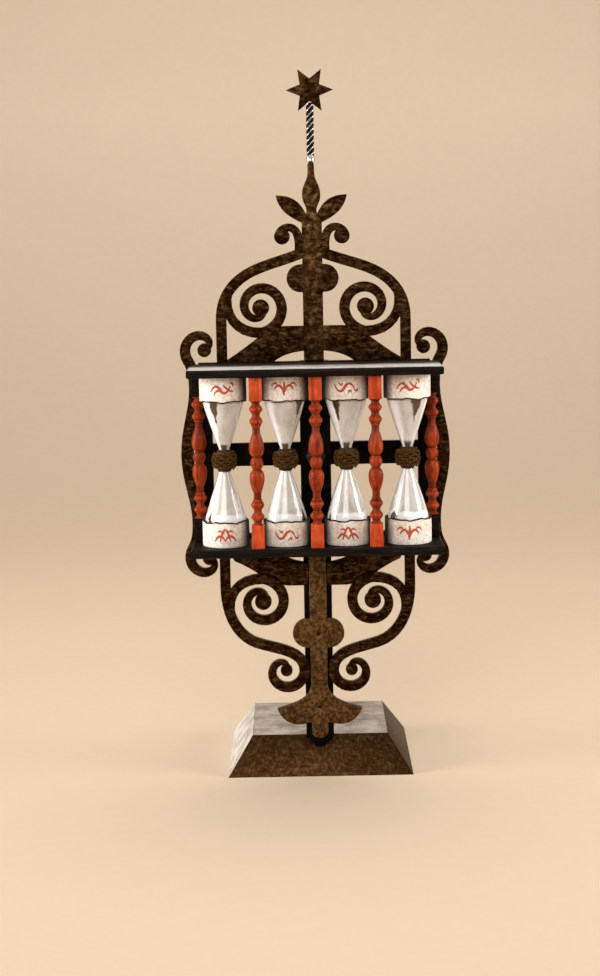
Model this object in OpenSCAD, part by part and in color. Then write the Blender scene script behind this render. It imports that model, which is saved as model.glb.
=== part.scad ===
// Pulpit hourglass: a case of four sandglasses turns end over end on a pivot in a wrought-iron stand.
// X runs to the right, -Y to the front and Z up. The origin is the middle of the plinth's underside.

/* [Plinth] */
// Width of the plinth's top
plinth_top_w = 133; // [110:1:170]
// Depth of the plinth's top
plinth_top_d = 122; // [100:1:160]
// Height of the plinth
plinth_h = 36; // [30:1:60]
// How far each side of the plinth runs out from its top to its foot
plinth_flare = 24; // [10:1:40]

/* [Post] */
// Width of the post
post_w = 27; // [22:0.5:32]
// Thickness of the post
post_t = 8; // [5:0.5:12]
// Height of the bottom rail above the plinth
post_clear_h = 192; // [185:1:230]
// How far the post's point hangs below the plinth's top
point_drop = 10.5; // [6:0.5:16]
// Height of the post's pointed end
point_h = 11.5; // [8:0.5:14]
// Width left at the post's blunted point
point_w = 6; // [2:0.5:10]
// Width of the shank that holds the post in the plinth
shank_w = 12; // [8:0.5:14]
// Height of the shank
shank_h = 6; // [4:0.5:7]
// Length of the shank
shank_len = 26; // [15:1:40]

/* [Iron frame behind the case] */
// Thickness of all the flat ironwork
iron_t = 6; // [4:0.5:8]
// Height of the top and bottom rails
rail_h = 12; // [10:0.5:16]
// Distance from the middle to the inner edge of an upright
upright_in = 98; // [94:0.5:104]
// Width of an upright
upright_w = 12; // [8:0.5:14]
// Height of the cross bar that carries the pivot
cross_h = 22; // [18:0.5:30]
// Diameter of the rivets
rivet_d = 5; // [3:0.5:7]

/* [Pivot] */
// Diameter of the pivot pin
pin_d = 8; // [6:0.5:10]
// Diameter of the pin's head
pin_head_d = 16; // [12:0.5:20]
// Thickness of the pin's head
pin_head_t = 4; // [3:0.5:6]
// Length of the pin past its front washer
pin_end = 8.5; // [7:0.5:12]
// Thickness of the washer between the stand and the case
back_washer_t = 2; // [1.5:0.1:4]
// Thickness of the washer in front of the hub
front_washer_t = 1.5; // [1:0.1:3]
// Diameter of the washers
washer_d = 17; // [13:0.5:20]
// Depth of the key along the pin
key_d = 4; // [3:0.1:5]
// Thickness of the key
key_t = 2.4; // [1.5:0.1:3]
// Length of the key
key_len = 18; // [14:0.5:22]
// Depth of the key at its narrow end, as a share of its full depth
key_taper = 0.7; // [0.5:0.05:1]

/* [Case] */
// Width of the top and bottom plates
plate_w = 236; // [232:1:260]
// Depth of the plates
plate_d = 70; // [66:1:90]
// Thickness of the plates
plate_t = 7.5; // [6:0.5:10]
// Clear height between the plates
case_gap = 160; // [150:1:180]
// Width of the bevel round the plates
plate_bevel = 1.2; // [0.5:0.1:2]
// Width of the iron strap up the back of the case
strap_w = 29; // [24:0.5:34]
// Thickness of the strap
strap_t = 3; // [2:0.1:4]
// Diameter of the strap's hub
hub_d = 18; // [15:0.5:20]
// Length of the hub in front of the strap
hub_len = 12; // [8:0.5:14]
// Diameter of the strap's nails
nail_d = 2.4; // [1.5:0.1:3]
// Length of the nails
nail_len = 16; // [10:1:24]

/* [Balusters] */
// Side of a baluster's square blocks
block_w = 12; // [10:0.5:13]
// Height of a block
block_h = 22; // [16:0.1:26]
// Distance between the front balusters
front_pitch = 55; // [53:0.5:58]
// Distance from the middle of an end baluster to the end of the plates
end_inset = 7.5; // [7:0.5:9]
// Distance from a baluster's middle to the edge of the plates that it stands at
edge_inset = 10; // [8:0.5:11]
// Diameter of the round tenons
tenon_d = 6; // [4:0.5:8]
// Diameter of a baluster's middle ring
ring_d = 12.2; // [10:0.2:14]
// Diameter of a baluster's waists
waist_d = 8.8; // [7:0.2:10]
// Diameter of a baluster's thin neck above each vase
thin_d = 7.2; // [6:0.2:8]
// Diameter of the turned beads
bead_d = 12.5; // [10:0.1:14]

/* [Sandglasses] */
// Distance between the glasses
glass_pitch = 57.2; // [56:0.1:58]
// Outer diameter of a bulb
bulb_d = 38; // [34:0.5:40]
// Thickness of the glass
glass_wall = 1.2; // [0.8:0.1:1.6]
// Outer diameter of a bulb's neck
neck_d = 9.8; // [8:0.1:11]
// Length of the straight neck, from the waist
neck_len = 11; // [10.5:0.1:14]
// Distance from the waist to where the bulb is at its full width
shoulder_len = 54; // [44:1:56]
// Height of a bulb's domed end
dome_h = 12; // [8:0.5:16]
// Outer diameter of the paper caps
cap_d = 44; // [42:0.5:45]
// Height of the paper caps
cap_h = 24; // [20:0.5:28]
// Thickness of a cap's closed end
cap_end_t = 1.5; // [1:0.1:3]
// Thickness of the pierced diaphragm between two bulbs
diaphragm_t = 0.8; // [0.4:0.1:1.5]
// Diameter of the hole that the sand runs through
sand_hole_d = 1.2; // [0.8:0.1:2]
// Distance from the sand's edge to the waist
sand_level = 48; // [44:0.5:60]
// Height of the sand's cone
sand_cone_h = 6; // [3:0.5:8]

/* [Waist binding] */
// Half the height of the leather sleeve at the waist
sleeve_half_h = 10.3; // [9:0.1:10.4]
// Diameter of the sleeve at its ends
sleeve_end_d = 11.8; // [11.4:0.1:13]
// Diameter of the sleeve at its middle
sleeve_mid_d = 17.6; // [15:0.1:19]
// Diameter of the cord
cord_d = 2.1; // [1.6:0.1:2.1]
// Distance from turn to turn of the cord
cord_pitch = 2.65; // [2.6:0.05:3]
// Turns of cord round each waist
cord_turns = 6; // [4:1:6]

/* [Wrought bars] */
// Width of the scrolled bars
bar_w = 10; // [8:0.1:11]
// Half width of the upper stem
upper_stem_half = 9.5; // [8:0.1:11]
// Half width of the lower stem
lower_stem_half = 8.3; // [7:0.1:10]
// Outward bulge of the side scrolls between their necks
side_bulge = 8; // [5:0.5:12]
// Width of a side scroll at its belly
side_belly_w = 12; // [10:0.5:14]
// Distance of a side scroll's neck from the rail's outer face
side_neck_inset = 25.5; // [20:0.5:32]

/* [Finial] */
// Diameter of the twisted rod across its corners
rod_d = 7; // [5:0.5:7.5]
// Diameter of the round collar at the foot of the rod
rod_collar_d = 8; // [7.6:0.1:9]
// Height of the twisted part of the rod
rod_h = 50; // [40:1:60]
// Height of the round collar at the foot of the rod
rod_collar_h = 5; // [3:0.5:8]
// Turns of twist in the rod
rod_turns = 3; // [2:1:5]
// Distance from the star's middle to its points
star_r = 22; // [18:0.5:26]
// Distance from the star's middle to its inner corners
star_inner_r = 10.5; // [8:0.5:12]
// Thickness of the star
star_t = 5; // [4:0.5:7]
// Diameter of the rod's tenon in the star
star_tenon_d = 3.2; // [2.5:0.1:3.6]
// Length of the rod's tenon in the star
star_tenon_h = 6; // [4:0.5:8]

/* [Hidden] */

// Fits and small gaps
seat = 0.05;
running = 0.08;
glue_gap = 0.1;
cord_gap = 0.25;
weld_flat = 0.55;
past = 1;

// Fineness of the round pieces and of the cord
fine = 64;
cord_rings = 24;
cord_sides = 6;
rod_sides = 24;
rod_steps = 12;

// Colours
iron_brown = "#4d3218";
iron_black = "#17120f";
case_black = "#1d1613";
baluster_red = "#b8401f";
paper_white = "#ddd6c8";
glass_grey = "#b9b1a2";
leather_brown = "#4a2f18";
cord_brown = "#6d5131";
sand_white = "#e8dfcc";
steel_grey = "#6f6a63";

// Heights
case_half = case_gap / 2;
rail_face = case_half + plate_t + past;
pivot_z = plinth_h + post_clear_h + rail_face;
rail_top_z = pivot_z + rail_face;
rail_low_z = pivot_z - rail_face;

// Depths, from the plinth's front edge forwards
post_back_y = -plinth_top_d / 2;
iron_back_y = post_back_y - post_t;
iron_front_y = iron_back_y - iron_t;
case_back_y = iron_front_y - back_washer_t - seat;
strap_front_y = case_back_y - strap_t;
hub_front_y = strap_front_y - hub_len;
front_washer_y = hub_front_y - seat;
key_back_y = front_washer_y - front_washer_t;
glass_y = case_back_y - plate_d / 2;
front_baluster_y = case_back_y - plate_d + edge_inset;
end_baluster_y = case_back_y - edge_inset;
end_baluster_x = plate_w / 2 - end_inset;
iron_mid_y = iron_back_y - iron_t / 2;

// Turned profile: heights from the baluster's middle, or down from the underside of its block
ring_half_h = 4.9;
vase_foot = 6.5;
vase_pull = [8.6, 3.5];
vase_push = [7.2, 39];
vase_end = 30;
bead_steps = [23.8, 23.3, 22.3, 15.6, 15, 12, 11, 4.6, 4, 1];

// A bulb's curve, beside the neck and below the shoulder, as radius and height
bulb_neck_pull = [3, 8];
bulb_shoulder_pull = [2, 9];

// Upper ironwork, as distance from the middle and height above the top rail
upper_s_foot_x = 87.3;
upper_s_curve = [
  [upper_stem_half - 3.5, 103.5], [30, 93.5], [52, 91], [68, 79],
  [80, 70], [upper_s_foot_x, 57.5], [upper_s_foot_x, 39.5]
];
upper_hook_curve = [
  [upper_stem_half + 3, 100], [upper_stem_half + 1.5, 114], [13, 125.5], [21.5, 126],
  [27, 126.4], [30.9, 122.9], [32.3, 119.1]
];
upper_hook_end_w = 6;
upper_ball = [28.2, 117.6];
upper_ball_r = 7.4;
upper_eye = [49.6, 51];
upper_root_curve = [[79.5, 68], [86, 46], [74, 27.3], [49.6, 27.3]];
upper_arch_outer_h = 33.4;
upper_arch_inner_h = 10.1;
upper_arch_foot = [83, 2];
upper_arch_bend = [60, 15];
upper_arch_inner_x = 38;
upper_knob = [11.5, 78.2];
upper_knob_r = 13.1;
neck_top = 130.5;
shoulder_curve = [[upper_stem_half, neck_top], [upper_stem_half, 136], [4.7, 137], [4.7, 141]];
bud_curve = [[4.7, 141], [4.7, 147], [8.7, 148], [8.7, 156.5], [8.7, 166], [3.1, 168], [3.1, 178]];
bud_top = 187;
bud_tip_curve = [[3.1, bud_top - 4], [3.1, bud_top - 1], [1.5, bud_top], [0, bud_top]];
leaf_top_curve = [[5, 138], [11, 151], [19, 156], [33.5, 156]];
leaf_low_curve = [[33.5, 156], [31, 143.5], [24, 136.5], [upper_stem_half - 2.5, 129]];

// Lower ironwork, as distance from the middle and depth below the bottom rail
lower_s_foot_x = 89.2;
lower_volute_eye = [31.7, 124.2];
lower_volute_r = 17.5;
lower_volute_sweep = -290;
lower_volute_in = lower_volute_eye - [lower_volute_r, 0];
lower_s_curve = [
  [lower_s_foot_x, 39.5], [lower_s_foot_x, 61.5], [83, 83.5], [65, 94],
  [50, 102.5], lower_volute_in - [0, 22.7], lower_volute_in
];
lower_volute_end_r = 4.4;
lower_volute_ball_r = 5.8;
lower_volute_power = 2.6;
lower_eye = [53, 55.5];
lower_root_curve = [[84, 70], [88, 48], [78, 33], [53, 33]];
lower_arch_outer_h = 40.4;
lower_arch_inner_h = 17.7;
lower_arch_foot = [81, 15];
lower_arch_bend = [60, 23];
lower_arch_inner_x = 45;
lower_knob = [10.5, 87.4];
lower_knob_r = 14.5;
foot_top_curve = [[lower_stem_half - 0.5, 138], [9.5, 152], [20, 156.5], [41.5, 162.3]];
foot_low_curve = [[41.5, 162.3], [38, 173], [29, 179.5], [18, 178.5]];
tongue_curve = [[8, 176.5], [8, 180], [8, 183], [8, 185], [8, 189.5], [5, 192.5], [0, 192.5]];
foot_rivet_h = 160;

// Scrolls and volutes
arch_flat_x = 28;
arch_flat_run = 17;
arch_haunch = [0.8, 0.6];
scroll_mid_r = 19.5;
scroll_end_r = 5.8;
scroll_sweep = -390;
scroll_ball_r = 8;
scroll_end_w = 2 * (scroll_ball_r - scroll_end_r);
root_start_w = 8;
roll_power = 3.3;
root_power = 8;
upper_scroll_r = upper_eye[1] - upper_root_curve[3][1];
lower_scroll_r = lower_eye[1] - lower_root_curve[3][1];
side_eye_x = 104;
side_eye_h = 11.9;
side_ball_r = 6.5;
side_start_r = 18.6;
side_end_r = 4.2;
side_start_angle = -30;
side_sweep = 185;
side_end_w = 2 * (side_ball_r - side_end_r);
side_power = 2.2;
side_lead = 10;
side_neck_lead = 13;
side_bow = [0.4, 0.65];
side_curl_steps = 18;

// One point of a cubic curve
function cubic(p, t) =
  pow(1 - t, 3) * p[0] + 3 * t * pow(1 - t, 2) * p[1] + 3 * t * t * (1 - t) * p[2] + pow(t, 3) * p[3];

// Points along a chain of cubic curves that share their end points
function chain(p, steps) = [
  for (s = [0 : 3 : len(p) - 4])
    for (i = [(s == 0 ? 0 : 1) : steps])
      cubic([p[s], p[s + 1], p[s + 2], p[s + 3]], i / steps)
];

// A curl about an eye, whose radius shrinks faster towards its end
function spiral(eye, r_start, r_end, a_start, sweep, power, steps) = [
  for (i = [0 : steps])
    let (
      t = i / steps,
      r = r_end + (r_start - r_end) * (1 - pow(t, power)),
      a = a_start + sweep * t
    )
    eye + r * [cos(a), sin(a)]
];

// A scroll about an eye: it runs in from its root, stays nearly round and then rolls up to the ball
function rolled(eye, r_start, steps) = [
  for (i = [0 : steps])
    let (
      t = i / steps,
      round_r = scroll_end_r + (scroll_mid_r - scroll_end_r) * (1 - pow(t, roll_power)),
      r = round_r + (r_start - scroll_mid_r) * pow(1 - t, root_power),
      a = 270 + scroll_sweep * t
    )
    eye + r * [cos(a), sin(a)]
];

function tail(list) = [for (i = [1 : len(list) - 1]) list[i]];
function unit(v) = v / norm(v);

function normal_at(path, i) =
  let (t = unit(path[min(i + 1, len(path) - 1)] - path[max(i - 1, 0)]))
  [-t[1], t[0]];

// Widths that run from one end of a path to the other, evenly or, with a power, mostly near its end
function taper(path, w_start, w_end, power = 1) = [
  for (i = [0 : len(path) - 1]) w_start + (w_end - w_start) * pow(i / (len(path) - 1), power)
];

// A bar that follows a path, with its own width at each point
module ribbon(path, widths) {
  last = len(path) - 1;
  polygon(concat(
    [for (i = [0 : last]) path[i] + normal_at(path, i) * widths[i] / 2],
    [for (i = [last : -1 : 0]) path[i] - normal_at(path, i) * widths[i] / 2]
  ));
}

// The half outline of a shape that is alike on both sides
module both_sides(points) {
  polygon(concat(points, [for (i = [len(points) - 1 : -1 : 0]) [-points[i][0], points[i][1]]]));
}

// Faces of a tube made of rings of points, one after another, and of its two ends
function tube_sides(rings, sides) = [
  for (k = [0 : rings - 2])
    for (s = [0 : sides - 1])
      let (
        a = k * sides + s,
        b = k * sides + (s + 1) % sides,
        c = b + sides,
        d = a + sides
      )
      each [[a, c, b], [a, d, c]]
];

function tube_caps(rings, sides) =
  let (last = (rings - 1) * sides)
  [for (s = [1 : sides - 2]) each [[0, s, s + 1], [last, last + s + 1, last + s]]];

// Places an outline above the top rail, on the right or mirrored to the left
module above(side = 1) {
  translate([0, rail_top_z]) mirror([side < 0 ? 1 : 0, 0]) children();
}

// Places an outline below the bottom rail, on the right or mirrored to the left
module below(side = 1) {
  translate([0, rail_low_z]) mirror([side < 0 ? 1 : 0, 0]) mirror([0, 1]) children();
}

// Stands an outline up in the plane of the ironwork
module forged(thickness = iron_t, back_y = iron_back_y) {
  translate([0, back_y, 0]) rotate([90, 0, 0]) linear_extrude(thickness) children();
}

// A cylinder along the front-to-back axis, from y_back forwards
module along_y(d, y_back, length, x = 0, z = pivot_z) {
  translate([x, y_back, z]) rotate([90, 0, 0]) cylinder(d = d, h = length, $fn = fine);
}

module trapezoid(top, bottom, h) {
  polygon([[-bottom / 2, 0], [bottom / 2, 0], [top / 2, h], [-top / 2, h]]);
}

module post_outline(gap = 0) {
  tip_z = plinth_h - point_drop - gap;
  shoulder_z = tip_z + point_h;
  half = post_w / 2 + gap;
  both_sides([[0, tip_z], [point_w / 2 + gap, tip_z], [half, shoulder_z], [half, rail_top_z]]);
}

module shank(gap = 0) {
  z_mid = plinth_h - point_drop + shank_h / 2 + past;
  translate([-shank_w / 2 - gap, post_back_y - past, z_mid - shank_h / 2 - gap])
    cube([shank_w + 2 * gap, shank_len + past + gap, shank_h + 2 * gap]);
}

module plinth() {
  bottom_w = plinth_top_w + 2 * plinth_flare;
  bottom_d = plinth_top_d + 2 * plinth_flare;
  color(iron_brown)
  difference() {
    intersection() {
      translate([0, bottom_d / 2, 0])
        rotate([90, 0, 0]) linear_extrude(bottom_d) trapezoid(plinth_top_w, bottom_w, plinth_h);
      translate([-bottom_w / 2, 0, 0])
        rotate([90, 0, 90]) linear_extrude(bottom_w) trapezoid(plinth_top_d, bottom_d, plinth_h);
    }
    forged(plinth_flare + past, post_back_y) post_outline(seat);
    shank(seat);
  }
}

module rivet_holes() {
  for (z = rivet_heights) along_y(rivet_d, post_back_y + past, post_t + iron_t + 2 * past, z = z);
}

rivet_heights = [
  rail_top_z - rail_h / 2,
  rail_low_z + rail_h / 2,
  rail_low_z - lower_knob[1],
  rail_low_z - foot_rivet_h
];

module pin_hole() {
  along_y(pin_d + 2 * seat, post_back_y + past, post_t + iron_t + 2 * past);
}

module post() {
  color(iron_black)
  difference() {
    union() {
      forged(post_t, post_back_y) post_outline();
      shank();
    }
    rivet_holes();
    pin_hole();
  }
}

module rail(z_low) {
  half = upright_in + upright_w;
  color(iron_black)
  difference() {
    forged() translate([-half, z_low]) square([2 * half, rail_h]);
    rivet_holes();
  }
}

module upright(side) {
  z_low = rail_low_z + rail_h;
  x_low = side > 0 ? upright_in : -upright_in - upright_w;
  color(iron_black)
  forged() translate([x_low, z_low]) square([upright_w, rail_top_z - rail_h - z_low]);
}

module cross_bar() {
  color(iron_black)
  difference() {
    forged() translate([-upright_in, pivot_z - cross_h / 2]) square([2 * upright_in, cross_h]);
    pin_hole();
  }
}

module frame_outline() {
  half = upright_in + upright_w;
  translate([-half, rail_low_z]) square([2 * half, 2 * rail_face]);
}

module upper_stem_outline() {
  both_sides(concat(
    [[upper_stem_half, 0], [upper_stem_half, neck_top]],
    tail(chain(shoulder_curve, 5)),
    tail(chain(bud_curve, 8)),
    chain(bud_tip_curve, 4)
  ));
  for (side = [-1, 1])
    translate([side * upper_knob[0], upper_knob[1]]) circle(r = upper_knob_r, $fn = fine);
}

module upper_stem() {
  color(iron_brown) forged() above() upper_stem_outline();
}

module leaf(side) {
  color(iron_brown)
  forged() above(side) difference() {
    polygon(concat(chain(leaf_top_curve, 8), tail(chain(leaf_low_curve, 8))));
    upper_stem_outline();
  }
}

module ball(eye, r) {
  translate(eye) circle(r = r, $fn = fine);
}

// The upper S-bar: a strut that bends over the shoulder, runs in to the stem and curls out in a small hook
module upper_s_run() {
  run = concat(chain(upper_s_curve, 10), [[upper_s_foot_x, 0]]);
  ribbon(run, taper(run, bar_w, bar_w));
}

module upper_hook() {
  hook = chain(upper_hook_curve, 10);
  ribbon(hook, taper(hook, bar_w - 1, upper_hook_end_w));
}

module upper_s_bar(side) {
  color(iron_brown)
  difference() {
    union() {
      forged() above(side) upper_s_run();
      forged() above(side) upper_hook();
      forged() above(side) ball(upper_ball, upper_ball_r);
    }
    forged() above(side) upper_stem_outline();
  }
}

// A big scroll: it leaves the strut in a tapered root and rolls up round its eye
module scroll_roll(eye, radius, root) {
  root_path = chain(root, 8);
  roll = rolled(eye, radius, 36);
  path = concat(root_path, tail(roll));
  widths = concat(
    taper(root_path, root_start_w, bar_w),
    tail(taper(roll, bar_w, scroll_end_w, roll_power))
  );
  ribbon(path, widths);
}

module upper_scroll(side) {
  color(iron_brown)
  difference() {
    union() {
      forged() above(side) scroll_roll(upper_eye, upper_scroll_r, upper_root_curve);
      forged() above(side) ball(upper_eye, scroll_ball_r);
    }
    forged() above(side) upper_s_run();
  }
}

// Half of an arch: it springs from the rail beside the strut and meets the stem
module arch_outline(outer_h, inner_h, foot, bend, inner_x) {
  outer = [[arch_flat_x, outer_h], [arch_flat_x + arch_flat_run, outer_h], bend, foot];
  haunch = [inner_x * arch_haunch[0], inner_h * arch_haunch[1]];
  inner = [[inner_x, 0], haunch, [inner_x / 2, inner_h], [0, inner_h]];
  polygon(concat([[0, outer_h]], chain(outer, 8), [[foot[0], 0]], chain(inner, 8)));
}

module upper_arch(side) {
  color(iron_brown)
  forged() above(side) difference() {
    arch_outline(
      upper_arch_outer_h, upper_arch_inner_h, upper_arch_foot, upper_arch_bend, upper_arch_inner_x
    );
    upper_stem_outline();
    upper_s_run();
    scroll_roll(upper_eye, upper_scroll_r, upper_root_curve);
  }
}

// The right-hand side scroll, from its belly up to the end of its volute
function side_half_path() =
  let (
    eye = [side_eye_x, rail_face + side_eye_h],
    neck_x = upright_in + upright_w + bar_w / 2 - weld_flat,
    neck_h = rail_face - side_neck_inset,
    start = eye + side_start_r * [cos(side_start_angle), sin(side_start_angle)],
    lead = side_lead * [-sin(side_start_angle), cos(side_start_angle)],
    belly = [neck_x + side_bulge, 0]
  )
  concat(
    chain([
      belly, belly + [0, neck_h * side_bow[0]], [neck_x, neck_h * side_bow[1]], [neck_x, neck_h],
      [neck_x, neck_h + side_neck_lead], start - lead, start
    ], 8),
    tail(spiral(eye, side_start_r, side_end_r, side_start_angle, side_sweep, side_power, side_curl_steps))
  );

module side_run() {
  half_path = side_half_path();
  count = len(half_path);
  neck_h = rail_face - side_neck_inset;
  path = concat([for (i = [count - 1 : -1 : 1]) [half_path[i][0], -half_path[i][1]]], half_path);
  widths = [
    for (i = [0 : len(path) - 1])
      let (
        swell = max(0, cos(90 * min(1, abs(path[i][1]) / neck_h))),
        curl = max(0, abs(i - count + 1) - (count - 1 - side_curl_steps)) / side_curl_steps
      )
      bar_w + (side_belly_w - bar_w) * swell + (side_end_w - bar_w) * pow(min(1, curl), side_power)
  ];
  ribbon(path, widths);
}

module beside(side) {
  translate([0, pivot_z]) mirror([side < 0 ? 1 : 0, 0]) children();
}

module side_scroll(side) {
  color(iron_brown)
  difference() {
    union() {
      forged() beside(side) side_run();
      for (end = [-1, 1])
        forged() beside(side) ball([side_eye_x, end * (rail_face + side_eye_h)], side_ball_r);
    }
    forged() frame_outline();
  }
}

module lower_stem_outline() {
  both_sides(concat(
    [[lower_stem_half, 0], [lower_stem_half, foot_top_curve[0][1] - past]],
    chain(foot_top_curve, 8),
    tail(chain(foot_low_curve, 8)),
    chain(tongue_curve, 5)
  ));
  for (side = [-1, 1])
    translate([side * lower_knob[0], lower_knob[1]]) circle(r = lower_knob_r, $fn = fine);
}

module lower_stem() {
  color(iron_brown)
  difference() {
    forged() below() lower_stem_outline();
    rivet_holes();
  }
}

// The lower S-bar: a strut that sweeps in to the stem and rolls up in an open volute
module lower_s_run() {
  run = concat([[lower_s_foot_x, 0]], chain(lower_s_curve, 10));
  roll = spiral(
    lower_volute_eye, lower_volute_r, lower_volute_end_r, 180, lower_volute_sweep, lower_volute_power, 24
  );
  end_w = 2 * (lower_volute_ball_r - lower_volute_end_r);
  ribbon(
    concat(run, tail(roll)),
    concat(taper(run, bar_w, bar_w), tail(taper(roll, bar_w, end_w, lower_volute_power)))
  );
}

module lower_s_bar(side) {
  color(iron_brown)
  difference() {
    union() {
      forged() below(side) lower_s_run();
      forged() below(side) ball(lower_volute_eye, lower_volute_ball_r);
    }
    forged() below(side) lower_stem_outline();
  }
}

module lower_scroll(side) {
  color(iron_brown)
  difference() {
    union() {
      forged() below(side) scroll_roll(lower_eye, lower_scroll_r, lower_root_curve);
      forged() below(side) ball(lower_eye, scroll_ball_r);
    }
    forged() below(side) lower_s_run();
  }
}

module lower_arch(side) {
  color(iron_brown)
  forged() below(side) difference() {
    arch_outline(
      lower_arch_outer_h, lower_arch_inner_h, lower_arch_foot, lower_arch_bend, lower_arch_inner_x
    );
    lower_stem_outline();
    lower_s_run();
    scroll_roll(lower_eye, lower_scroll_r, lower_root_curve);
  }
}

// One level of the rod: a round ring, or a square one turned by an angle about the rod's axis
function round_ring(r, z) = [
  for (s = [0 : rod_sides - 1]) [r * cos(360 * s / rod_sides), r * sin(360 * s / rod_sides), z]
];

function square_ring(r, z, turn) = [
  for (s = [0 : rod_sides - 1])
    let (
      a = 360 * s / rod_sides,
      edge = r / (abs(cos(a)) + abs(sin(a)))
    )
    [edge * cos(a + turn), edge * sin(a + turn), z]
];

// A square bar twisted cold, with a round collar at its foot and a round tenon at its top
module twisted_rod() {
  foot_z = rail_top_z + bud_top;
  twist_z = foot_z + rod_collar_h;
  top_z = twist_z + rod_h;
  steps = rod_steps * rod_turns;
  levels = concat(
    [round_ring(rod_collar_d / 2, foot_z), round_ring(rod_collar_d / 2, twist_z)],
    [for (i = [0 : steps]) square_ring(rod_d / 2, twist_z + rod_h * i / steps, 360 * i / rod_steps)],
    [round_ring(star_tenon_d / 2, top_z), round_ring(star_tenon_d / 2, top_z + star_tenon_h)]
  );
  color(steel_grey)
  translate([0, iron_mid_y, 0]) polyhedron(
    [for (level = levels) each level],
    concat(tube_sides(len(levels), rod_sides), tube_caps(len(levels), rod_sides))
  );
}

// The star is notched for the end of the rod and bored for its tenon
module star() {
  rod_top_z = rail_top_z + bud_top + rod_collar_h + rod_h;
  star_z = rod_top_z + star_inner_r;
  points = [
    for (i = [0 : 11]) (i % 2 == 0 ? star_r : star_inner_r) * [cos(30 * i), sin(30 * i)]
  ];
  color(iron_brown)
  difference() {
    forged(star_t, iron_mid_y + star_t / 2) translate([0, star_z]) polygon(points);
    translate([0, iron_mid_y, rod_top_z - past])
      cylinder(d = star_tenon_d + 2 * seat, h = star_tenon_h + seat + past, $fn = fine);
    translate([0, iron_mid_y, rod_top_z - star_r])
      cylinder(d = rod_d + 2 * seat, h = star_r + seat, $fn = fine);
  }
}

module pivot_pin() {
  shank_end_y = key_back_y - pin_end;
  color(steel_grey)
  difference() {
    union() {
      along_y(pin_head_d, post_back_y + pin_head_t, pin_head_t);
      along_y(pin_d, post_back_y, post_back_y - shank_end_y);
    }
    translate([-pin_d, key_back_y - key_d - seat, pivot_z - key_t / 2 - seat])
      cube([2 * pin_d, key_d + seat, key_t + 2 * seat]);
  }
}

module washer(y_back, thickness) {
  difference() {
    along_y(washer_d, y_back, thickness);
    along_y(pin_d + 2 * running, y_back + past, thickness + 2 * past);
  }
}

module pivot_washers() {
  color(steel_grey) {
    washer(iron_front_y, back_washer_t);
    washer(front_washer_y, front_washer_t);
  }
}

// A flat key, narrower at one end, that stops the pin from drawing back
module pivot_key() {
  half = key_len / 2;
  color(steel_grey)
  translate([0, key_back_y, pivot_z - key_t / 2])
    linear_extrude(key_t) polygon([[-half, 0], [half, 0], [half, -key_d * key_taper], [-half, -key_d]]);
}

module rivets() {
  color(iron_black)
  for (z = rivet_heights) along_y(rivet_d - 2 * seat, post_back_y, post_t + iron_t, z = z);
}

module bevelled(w, h) {
  polygon([
    [-w / 2, plate_bevel], [-w / 2 + plate_bevel, 0], [w / 2 - plate_bevel, 0], [w / 2, plate_bevel],
    [w / 2, h - plate_bevel], [w / 2 - plate_bevel, h], [-w / 2 + plate_bevel, h], [-w / 2, h - plate_bevel]
  ]);
}

module at_balusters() {
  for (x = [-front_pitch, 0, front_pitch]) translate([x, front_baluster_y, 0]) children();
  for (x = [-end_baluster_x, end_baluster_x]) translate([x, end_baluster_y, 0]) children();
}

module nails(d) {
  for (x = [-strap_w / 4, strap_w / 4])
    for (end = [-1, 1])
      along_y(d, case_back_y, nail_len, x, pivot_z + end * (case_half + plate_t / 2));
}

// A plate with bevelled edges, bored for the tenons and notched for the strap
module plate(z_low) {
  color(case_black)
  difference() {
    intersection() {
      translate([0, case_back_y, z_low])
        rotate([90, 0, 0]) linear_extrude(plate_d) bevelled(plate_w, plate_t);
      translate([-plate_w / 2, glass_y, z_low])
        rotate([90, 0, 90]) linear_extrude(plate_w) bevelled(plate_d, plate_t);
    }
    at_balusters() translate([0, 0, z_low - past])
      cylinder(d = tenon_d + 2 * seat, h = plate_t + 2 * past, $fn = fine);
    translate([-strap_w / 2, strap_front_y, z_low - past])
      cube([strap_w, strap_t + past, plate_t + 2 * past]);
    nails(nail_d + 2 * seat);
  }
}

// The strap up the back of the case, with the hub that turns on the pivot pin
module back_strap() {
  half = case_half + plate_t;
  color(iron_black)
  difference() {
    union() {
      forged(strap_t, case_back_y) translate([-strap_w / 2, pivot_z - half]) square([strap_w, 2 * half]);
      along_y(hub_d, case_back_y, strap_t + hub_len);
    }
    along_y(pin_d + 2 * running, case_back_y + past, strap_t + hub_len + 2 * past);
    nails(nail_d + 2 * seat);
  }
}

module strap_nails() {
  color(steel_grey) nails(nail_d);
}

// A round moulding between two heights
function bead(z_low, z_high, r_low, r_high, steps) = [
  for (i = [0 : steps])
    [r_low + (r_high - r_low) * sin(180 * i / steps), z_low + (z_high - z_low) * i / steps]
];

// The turned profile of a baluster, from its middle ring up to its block, as radius and height
function baluster_profile() =
  let (
    top = case_half - block_h,
    waist = waist_d / 2,
    thin = thin_d / 2,
    ring = [for (i = [0 : 4]) [waist + (ring_d / 2 - waist) * cos(90 * i / 4), ring_half_h * i / 4]],
    vase = chain([[waist, vase_foot], [vase_pull[0], vase_foot + vase_pull[1]],
      [vase_push[0], top - vase_push[1]], [thin, top - vase_end]], 10)
  )
  concat(
    ring, vase, [[thin, top - bead_steps[0]], [waist, top - bead_steps[1]]],
    bead(top - bead_steps[2], top - bead_steps[3], waist, bead_d / 2, 6),
    [[thin, top - bead_steps[4]], [thin, top - bead_steps[5]]],
    bead(top - bead_steps[6], top - bead_steps[7], waist, bead_d / 2, 6),
    [[thin, top - bead_steps[8]], [thin, top - bead_steps[9]], [block_w / 2 - seat, top]]
  );

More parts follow.
